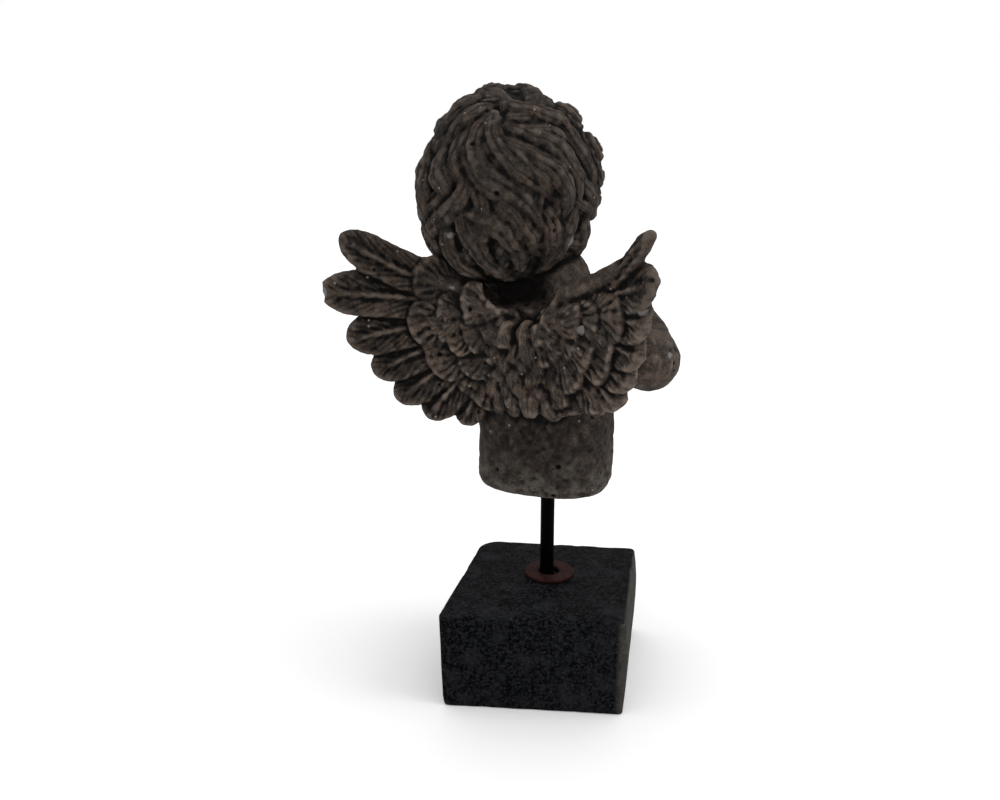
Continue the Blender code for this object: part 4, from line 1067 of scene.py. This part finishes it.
def make_block(material):
    """The block, with its arrises eased unevenly and chipped.

    One profile is carried round its plan, from the middle of the underside up the sides and over the
    top down to the floor of the rod's hole.
    """
    axis = np.array(ROD_AXIS)
    eased = np.linspace(0, math.pi / 2, 5)
    rows = [(BLOCK_TAPER + BLOCK_EDGE * (1 - math.sin(a)), BLOCK_EDGE * (1 - math.cos(a))) for a in eased]
    rows += [(BLOCK_TAPER * (1 - s), BLOCK_EDGE + (BLOCK_HEIGHT - 2 * BLOCK_EDGE) * s)
             for s in np.linspace(0, 1, 15)[1:-1]]
    rows += [(BLOCK_EDGE * (1 - math.cos(a)), BLOCK_HEIGHT - BLOCK_EDGE * (1 - math.sin(a))) for a in eased]
    sides = np.array([level_ring(block_plan(inset), z) for inset, z in rows])
    angle = np.arctan2(sides[-1][:, 1] - axis[1], sides[-1][:, 0] - axis[0])
    ring = np.column_stack([axis[0] + HOLE_RADIUS * np.cos(angle), axis[1] + HOLE_RADIUS * np.sin(angle)])
    middle = sides[:, :, :2].mean((0, 1))
    height = sides[:, :, 2]
    bulge = SAWN_BULGE * np.sin(np.pi * np.clip(1 - height / BLOCK_HEIGHT, 0, 1) ** 0.75 * 0.78)
    sides[:, :, 0] -= bulge * ease(-sides[:, :, 0], 0.010, 0.028)
    near_arris = sum(np.exp(-((height - arris) / KNOCK_REACH) ** 2) for arris in (BLOCK_HEIGHT, 0.0))
    knocks = np.clip(noise_at(sides * (1, 1, 0.6), 0.0045, 3) - 0.35, 0, 1) * KNOCK_DEPTH * near_arris
    uneven = noise_at(sides, 0.011, 5) * 0.00016 + noise_at(sides, 0.0022, 6) * 0.00004
    inwards = unit(middle - sides[:, :, :2])
    sides[:, :, :2] += inwards * (knocks + np.abs(uneven))[:, :, None]
    brim, foot = sides[-1][:, :2], sides[0][:, :2]
    under = [level_ring(foot * (1 - s) + middle * s, 0.0) for s in (0.9, 0.75, 0.5, 0.25, 0.1)]
    top = [level_ring(brim * (1 - s) + ring * s, BLOCK_HEIGHT) for s in np.linspace(0, 1, 16)[1:] ** 0.9]
    wall = [level_ring(ring, z) for z in np.linspace(BLOCK_HEIGHT, BLOCK_HOLE_FLOOR, 6)[1:]]
    floor = [level_ring(axis + (ring - axis) * s, BLOCK_HOLE_FLOOR) for s in (0.6, 0.2)]
    mesh = closed_grid(np.concatenate([under, sides, top, wall, floor]), "granite_block")
    points = points_of(mesh)
    # Mask of the side at -x, which the finish makes rougher and paints lighter, as lit from that side.
    lit_rough_side = ease(-points[:, 0], BLOCK_WIDTH / 2 - 0.0035, BLOCK_WIDTH / 2 - 0.0015)
    give(mesh, "lit_rough_side", lit_rough_side * ease(BLOCK_HEIGHT - points[:, 2], 0.0, 0.0004))
    mesh.set_sharp_from_angle(angle=math.radians(40))
    return piece_of("granite_block", mesh, material)


def turned(profile, centre, sides, rough, spacing):
    """Rings of a profile of radius and height turned about an upright axis, with a little unevenness."""
    angle = np.linspace(0, 2 * math.pi, sides, endpoint=False)
    radius, height = (column[:, None] for column in np.array(profile).T)
    grid = np.stack([centre[0] + radius * np.cos(angle), centre[1] + radius * np.sin(angle),
                     height + 0 * angle], -1)
    swell_by = rough * noise_at(grid, spacing, 11)
    grid[..., :2] += (grid[..., :2] - centre) * (swell_by / np.maximum(radius, 1e-4))[..., None]
    return grid


def make_washer(material):
    """The washer: a ring turned from a profile with worn arrises, lying round the rod."""
    inner, outer, top, worn = WASHER_INNER, WASHER_OUTER, WASHER_THICKNESS, WASHER_THICKNESS * 0.28
    arc = np.linspace(0, math.pi / 2, 5)
    profile = [(inner + 0.00015, 0.0)]
    profile += [(outer - worn + worn * math.sin(a), worn - worn * math.cos(a)) for a in arc]
    profile += [(outer - worn + worn * math.cos(a), top - worn + worn * math.sin(a)) for a in arc]
    profile += [(inner + 0.0002 + (outer - worn - inner) * s, top) for s in (0.75, 0.5, 0.25)]
    profile += [(inner + 0.0003, top), (inner, top - 0.0003), (inner, 0.0002)]
    grid = turned([(r, WASHER_SEAT + h) for r, h in profile], WASHER_CENTRE, 72, 0.00006, 0.002)
    on_top = np.where(grid[..., 2] > WASHER_SEAT + top * 0.6, 1, 0)
    grid[..., 2] += on_top * 0.00003 * noise_at(grid, 0.0011, 12)
    rows, count = grid.shape[:2]
    index = np.arange(rows * count).reshape(rows, count)
    after = np.roll(index, -1, axis=1)
    quads = np.stack([index, after, np.roll(after, -1, axis=0), np.roll(index, -1, axis=0)], -1)
    mesh = mesh_of("steel_washer", grid.reshape(-1, 3), quads.reshape(-1, 4))
    mesh.set_sharp_from_angle(angle=math.radians(50))
    return piece_of("steel_washer", mesh, material)


def make_rod(material):
    """The rod: a turned length with eased ends, sunk in the block and in the bust."""
    edge = 0.0004
    top = ROD_FOOT + ROD_LENGTH
    profile = [(ROD_RADIUS - edge, ROD_FOOT)]
    profile += [(ROD_RADIUS, z) for z in np.linspace(ROD_FOOT + edge, top - edge, 60)]
    profile += [(ROD_RADIUS - edge, top)]
    mesh = closed_grid(turned(profile, ROD_AXIS, 48, 0.00002, 0.003), "steel_rod")
    mesh.set_sharp_from_angle(angle=math.radians(40))
    return piece_of("steel_rod", mesh, material)


# Finishes

class Finish:
    """A material and short ways to make and link its nodes."""

    def __init__(self, name):
        self.material = bpy.data.materials.new(name)
        self.material.use_nodes = True
        self.tree = self.material.node_tree
        self.shader = self.tree.nodes["Principled BSDF"]
        self.place = self.node("TexCoord").outputs["Object"]

    def node(self, kind, values=None, **settings):
        """A node with its settings, and its inputs linked or set."""
        made = self.tree.nodes.new("ShaderNode" + kind)
        for key, value in settings.items():
            setattr(made, key, value)
        for socket, value in (values or {}).items():
            self.put(made.inputs[socket], value)
        return made

    def put(self, socket, value):
        """Link a socket to another's output, or set its value."""
        if isinstance(value, bpy.types.NodeSocket):
            self.tree.links.new(value, socket)
        elif socket.type == "RGBA":
            socket.default_value = (*value, 1.0)
        else:
            socket.default_value = value

    def noise(self, size, detail=2.0, rough=0.5, warp=0.0):
        """Noise whose lumps are about size metres across."""
        return self.node("TexNoise", {"Vector": self.place, "Scale": 1 / size, "Detail": detail, "Roughness": rough,
                                      "Distortion": warp}).outputs["Fac"]

    def cells(self, size, output="Color"):
        """Random cells about size metres across."""
        return self.node("TexVoronoi", {"Vector": self.place, "Scale": 1 / size}).outputs[output]

    def span(self, value, low, high, to_low=0.0, to_high=1.0):
        """A number carried from one range to another, and held at its ends."""
        return self.node("MapRange", {"Value": value, "From Min": low, "From Max": high, "To Min": to_low,
                                      "To Max": to_high}).outputs["Result"]

    def sum(self, operation, a, b=0.0, c=0.0):
        """A sum of numbers."""
        made = self.node("Math", operation=operation)
        for socket, value in zip(made.inputs, (a, b, c)):
            self.put(socket, value)
        return made.outputs[0]

    def mix(self, factor, a, b, blend="MIX"):
        """Two colours mixed."""
        made = self.node("Mix", data_type="RGBA", blend_type=blend)
        self.put(made.inputs[0], factor)
        self.put(made.inputs[6], a)
        self.put(made.inputs[7], b)
        return made.outputs[2]

    def own(self, name):
        """A number stored on the piece."""
        return self.node("Attribute", attribute_name=name).outputs["Fac"]

    def done(self, colour, roughness, bumps, specular, metallic=0.0):
        """Link the shader: colour, roughness and bumps given as (height, depth in metres)."""
        self.put(self.shader.inputs["Base Color"], colour)
        self.put(self.shader.inputs["Roughness"], roughness)
        self.shader.inputs["Specular IOR Level"].default_value = specular
        self.shader.inputs["Metallic"].default_value = metallic
        normal = None
        for height, depth in bumps:
            values = {"Height": height, "Distance": depth, "Strength": 1.0}
            if normal:
                values["Normal"] = normal
            normal = self.node("Bump", values).outputs["Normal"]
        self.put(self.shader.inputs["Normal"], normal)
        return self.material


def cast_stone():
    """Dark patinated cast stone: brown and grey clouds, dirt and painted shade in the hollows, painted shade in
    deep recesses and barb grooves, painted highlight on ridges and crests, painted light on wings, back and elbow,
    sand, pale grit and bare chips."""
    f = Finish("dark cast stone")
    hollow, shelter = f.own("hollow"), f.own("shelter")
    clouds = f.span(f.noise(0.014, 3, 0.6), 0.38, 0.62)
    colour = f.mix(clouds, (0.0300, 0.0250, 0.0220), (0.0490, 0.0370, 0.0298))
    colour = f.mix(f.span(f.noise(0.006, 3, 0.6), 0.50, 0.66, 0, 0.6), colour, (0.030, 0.0295, 0.0270))
    stain = f.span(f.noise(0.012, 7, 0.62), 0.42, 0.70, 0, 0.62)
    colour = f.mix(stain, colour, (0.0120, 0.0100, 0.0088))
    soot = f.span(f.noise(0.0075, 7, 0.68), 0.52, 0.64, 0, 0.62)
    colour = f.mix(soot, colour, (0.0060, 0.0052, 0.0047))
    sand = f.noise(0.0006, 3, 0.7)
    mottle = f.mix(f.span(f.noise(0.0017, 4, 0.65), 0.35, 0.65), (0.80, 0.80, 0.80), (1.22, 1.22, 1.22))
    grain = f.mix(f.span(sand, 0.3, 0.7), (0.48, 0.48, 0.48), (1.65, 1.60, 1.55))
    colour = f.mix(1.0, f.mix(1.0, colour, mottle, "MULTIPLY"), grain, "MULTIPLY")
    barbs = f.sum("ABSOLUTE", f.sum("SINE", f.sum("MULTIPLY", f.own("lines"), math.pi)))
    fine = f.sum("MULTIPLY", f.own("comb"), f.span(f.noise(0.004), 0.35, 0.6, 0.25, 0.95))
    # Painted shade and highlight: darker colour in the grooves between barbs and strands, lighter on their crests.
    barb_shade_and_highlight = f.mix(f.span(barbs, 0.10, 0.80), (0.45, 0.44, 0.43), (1.28, 1.25, 1.23))
    colour = f.mix(fine, colour, f.mix(1.0, colour, barb_shade_and_highlight, "MULTIPLY"))
    barbs = f.sum("MULTIPLY", barbs, fine)
    height = f.node("SeparateXYZ", {"Vector": f.place}).outputs["Z"]
    on_stump = f.span(height, 0.0950, 0.1010, 1.0, 0.0)
    blots = f.sum("MULTIPLY", on_stump, f.span(f.noise(0.0065, 5, 0.65), 0.48, 0.60))
    colour = f.mix(f.sum("MULTIPLY", blots, 0.70), colour, (0.0100, 0.0082, 0.0072))
    level = f.span(height, 0.0700, 0.0900, 0.90, 0.0)
    dust = f.sum("MULTIPLY", level, f.span(f.noise(0.004, 6, 0.7), 0.44, 0.56))
    colour = f.mix(dust, colour, (0.108, 0.096, 0.084))
    # Painted highlight: lighter colour on ridges and raised edges.
    uneven = f.span(f.noise(0.003, 3), 0.3, 0.7, -0.12, 0.12)
    ridge = f.span(f.sum("ADD", f.sum("MULTIPLY", hollow, -1.0), uneven), 0.08, 0.34)
    colour = f.mix(f.sum("MULTIPLY", ridge, 0.80), colour, (0.128, 0.102, 0.086))
    # Dirt and painted shade: darker colour in crevices and fine hollows.
    dirt_and_shade = f.span(f.sum("ADD", hollow, f.span(f.noise(0.002, 3), 0.3, 0.7, -0.10, 0.10)), -0.04, 0.16)
    colour = f.mix(dirt_and_shade, colour, (0.0030, 0.0025, 0.0023))
    # Painted light: colour made lighter on the back, wings and elbow, and a little darker everywhere else.
    shade = f.span(f.own("painted_light"), 0.0, 1.0, 0.86, 1.38)
    warm = f.node("CombineColor", {"Red": shade, "Green": f.sum("MULTIPLY", shade, 0.985),
                                   "Blue": f.sum("MULTIPLY", shade, 0.97)}).outputs[0]
    colour = f.mix(1.0, colour, warm, "MULTIPLY")
    # Painted shade: darker colour deep in recesses, as between the head and the wings.
    deep = f.span(shelter, 0.0, 0.27, 0.0, 0.95)
    colour = f.mix(deep, colour, (0.0035, 0.0028, 0.0026))
    spots = f.node("TexVoronoi", {"Vector": f.place, "Scale": 420.0, "Randomness": 1.0})
    rare = f.sum("GREATER_THAN", f.node("SeparateColor", {"Color": spots.outputs["Color"]}).outputs[0], 0.93)
    grit = f.sum("MULTIPLY", rare, f.span(spots.outputs["Distance"], 0.10, 0.20, 1.0, 0.0))
    colour = f.mix(f.sum("MULTIPLY", grit, 0.55), colour, (0.30, 0.26, 0.23))
    chip = f.span(f.sum("ADD", f.own("bare"), f.sum("MULTIPLY", f.noise(0.0014, 4, 0.7), 1.0)), 0.85, 1.20)
    colour = f.mix(chip, colour, (0.150, 0.146, 0.142))
    rough = f.span(sand, 0.3, 0.7, 0.62, 0.86)
    return f.done(colour, rough, ((barbs, 0.00022), (f.noise(0.0016, 3, 0.6), 0.0003), (sand, 0.00012)), 0.07)


def granite():
    """Dark honed granite: near black ground with grey grains of two sizes and glints, and one side rougher and
    painted lighter, as lit from that side.
    """
    f = Finish("dark granite")
    grains = f.noise(0.0011, 4, 0.7)
    specks = f.node("SeparateColor", {"Color": f.cells(0.0004)}).outputs[0]
    clouds = f.noise(0.006, 3)
    colour = f.mix(f.span(grains, 0.44, 0.62), (0.0008, 0.0009, 0.0011), (0.0135, 0.0140, 0.0156))
    colour = f.mix(f.span(clouds, 0.50, 0.70, 0, 0.4), colour, (0.0110, 0.0114, 0.0126))
    colour = f.mix(f.span(specks, 0.982, 0.995, 0, 0.6), colour, (0.040, 0.040, 0.043))
    # Painted light: the side at -x is painted lighter, as lit from that side, and is also rougher.
    lit_side_colour = f.mix(f.span(grains, 0.35, 0.7), (0.030, 0.0282, 0.0255), (0.062, 0.0590, 0.0535))
    lit_side_colour = f.mix(f.span(clouds, 0.40, 0.65, 0, 0.5), lit_side_colour, (0.024, 0.0228, 0.0215))
    lit_rough_side = f.own("lit_rough_side")
    colour = f.mix(lit_rough_side, colour, lit_side_colour)
    dust = f.span(f.noise(0.012, 5, 0.7), 0.50, 0.70, 0, 0.55)
    colour = f.mix(dust, colour, (0.0200, 0.0206, 0.0225))
    rough = f.sum("ADD", f.span(grains, 0, 1, 0.45, 0.60), f.sum("MULTIPLY", lit_rough_side, 0.3))
    return f.done(colour, rough, ((f.noise(0.0009, 2), 0.00008), (grains, 0.00003)), 0.012)


def rod_steel():
    """Blackened steel rod: near black, satin, drawn lines along it and a trace of brown."""
    f = Finish("blackened steel")
    along = f.node("Mapping", {"Vector": f.place, "Scale": (1, 1, 0.05)}).outputs[0]
    drawn = f.node("TexNoise", {"Vector": along, "Scale": 2600.0, "Detail": 2.0}).outputs["Fac"]
    brown = f.span(f.noise(0.004, 3), 0.45, 0.7, 0, 0.8)
    colour = f.mix(brown, (0.0005, 0.0004, 0.0004), (0.0012, 0.0008, 0.0007))
    colour = f.mix(f.span(drawn, 0.55, 0.75, 0, 0.4), colour, (0.0018, 0.0015, 0.0015))
    rough = f.span(drawn, 0.3, 0.7, 0.38, 0.58)
    return f.done(colour, rough, ((drawn, 0.00003), (f.noise(0.0006, 3), 0.00004)), 0.015)


def washer_steel():
    """Rusted washer: dark brown-red oxide in clouds and fine pits, and greyer patches."""
    f = Finish("rusted steel")
    clouds = f.noise(0.0025, 4, 0.65)
    pits = f.noise(0.0005, 3, 0.7)
    colour = f.mix(f.span(clouds, 0.35, 0.65), (0.011, 0.0050, 0.0048), (0.030, 0.0105, 0.0090))
    colour = f.mix(f.span(pits, 0.52, 0.7, 0, 0.6), colour, (0.040, 0.019, 0.015))
    colour = f.mix(f.span(f.noise(0.0012, 2), 0.60, 0.72, 0, 0.5), colour, (0.018, 0.015, 0.015))
    return f.done(colour, f.span(pits, 0.3, 0.7, 0.45, 0.75), ((clouds, 0.00010), (pits, 0.00008)), 0.03)


# Camera, light and floor

def make_camera():
    """Camera at the photograph's viewing angle, behind the figure and a little to its right."""
    data = bpy.data.cameras.new("camera")
    data.lens, data.sensor_width = LENS, SENSOR
    data.clip_start, data.clip_end = 0.01, 20.0
    camera = bpy.data.objects.new("camera", data)
    bpy.context.scene.collection.objects.link(camera)
    camera.location = CAMERA_PLACE
    level, down = math.radians(LOOK_LEVEL), math.radians(LOOK_DOWN)
    look = Vector((-math.sin(level) * math.cos(down), math.cos(level) * math.cos(down), -math.sin(down)))
    camera.rotation_euler = look.to_track_quat("-Z", "Y").to_euler()
    bpy.context.scene.camera = camera


def make_studio():
    """Plain pale floor, a white sky that is brighter overhead, and one wide soft light from a side."""
    floor = mesh_of("floor", np.array(((-4, -4, 0), (4, -4, 0), (4, 4, 0), (-4, 4, 0)), float),
                    np.array(((0, 1, 2, 3),)))
    f = Finish("pale floor")
    tone = f.mix(f.span(f.noise(0.3, 2), 0.3, 0.7), (0.86, 0.86, 0.86), (0.88, 0.88, 0.88))
    piece = piece_of("floor", floor, f.done(tone, f.span(f.noise(0.02), 0.3, 0.7, 0.85, 0.9),
                                           ((f.noise(0.01), 0.00001),), 0.1))
    world = bpy.data.worlds.new("studio")
    bpy.context.scene.world = world
    world.use_nodes = True
    tree = world.node_tree
    ground = tree.nodes["Background"]
    ground.inputs["Color"].default_value = (1.0, 1.0, 1.0, 1.0)
    ground.inputs["Strength"].default_value = 1.0
    place = tree.nodes.new("ShaderNodeTexCoord")
    parts = tree.nodes.new("ShaderNodeSeparateXYZ")
    rise = tree.nodes.new("ShaderNodeMapRange")
    for socket, value in (("From Min", 0.0), ("From Max", 0.9), ("To Min", 0.42), ("To Max", 1.45)):
        rise.inputs[socket].default_value = value
    ray = tree.nodes.new("ShaderNodeLightPath")
    pick = tree.nodes.new("ShaderNodeMix")
    tree.links.new(place.outputs["Generated"], parts.inputs[0])
    tree.links.new(parts.outputs["Z"], rise.inputs["Value"])
    tree.links.new(ray.outputs["Is Camera Ray"], pick.inputs[0])
    tree.links.new(rise.outputs["Result"], pick.inputs[2])
    pick.inputs[3].default_value = 1.0
    tree.links.new(pick.outputs[0], ground.inputs["Strength"])
    sun = bpy.data.lights.new("window", "SUN")
    sun.energy, sun.angle = 0.9, math.radians(35)
    lamp = bpy.data.objects.new("window", sun)
    bpy.context.scene.collection.objects.link(lamp)
    lamp.rotation_euler = Vector((0.80, -0.05, -0.62)).to_track_quat("-Z", "Y").to_euler()
    bpy.context.scene.view_settings.view_transform = "Standard"
    bpy.context.scene.view_settings.look = "None"


def place(piece, node, slot):
    """Tie a piece to the part: it rides on the one body and stands for a node; slot is not used."""
    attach(piece, "root")
    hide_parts(node)


make_camera()
make_studio()
place(make_block(granite()), "block", "granite")
place(make_rod(rod_steel()), "rod", "rod_steel")
place(make_washer(washer_steel()), "washer", "washer_steel")
place(make_bust(cast_stone()), "bust", "cast_stone")
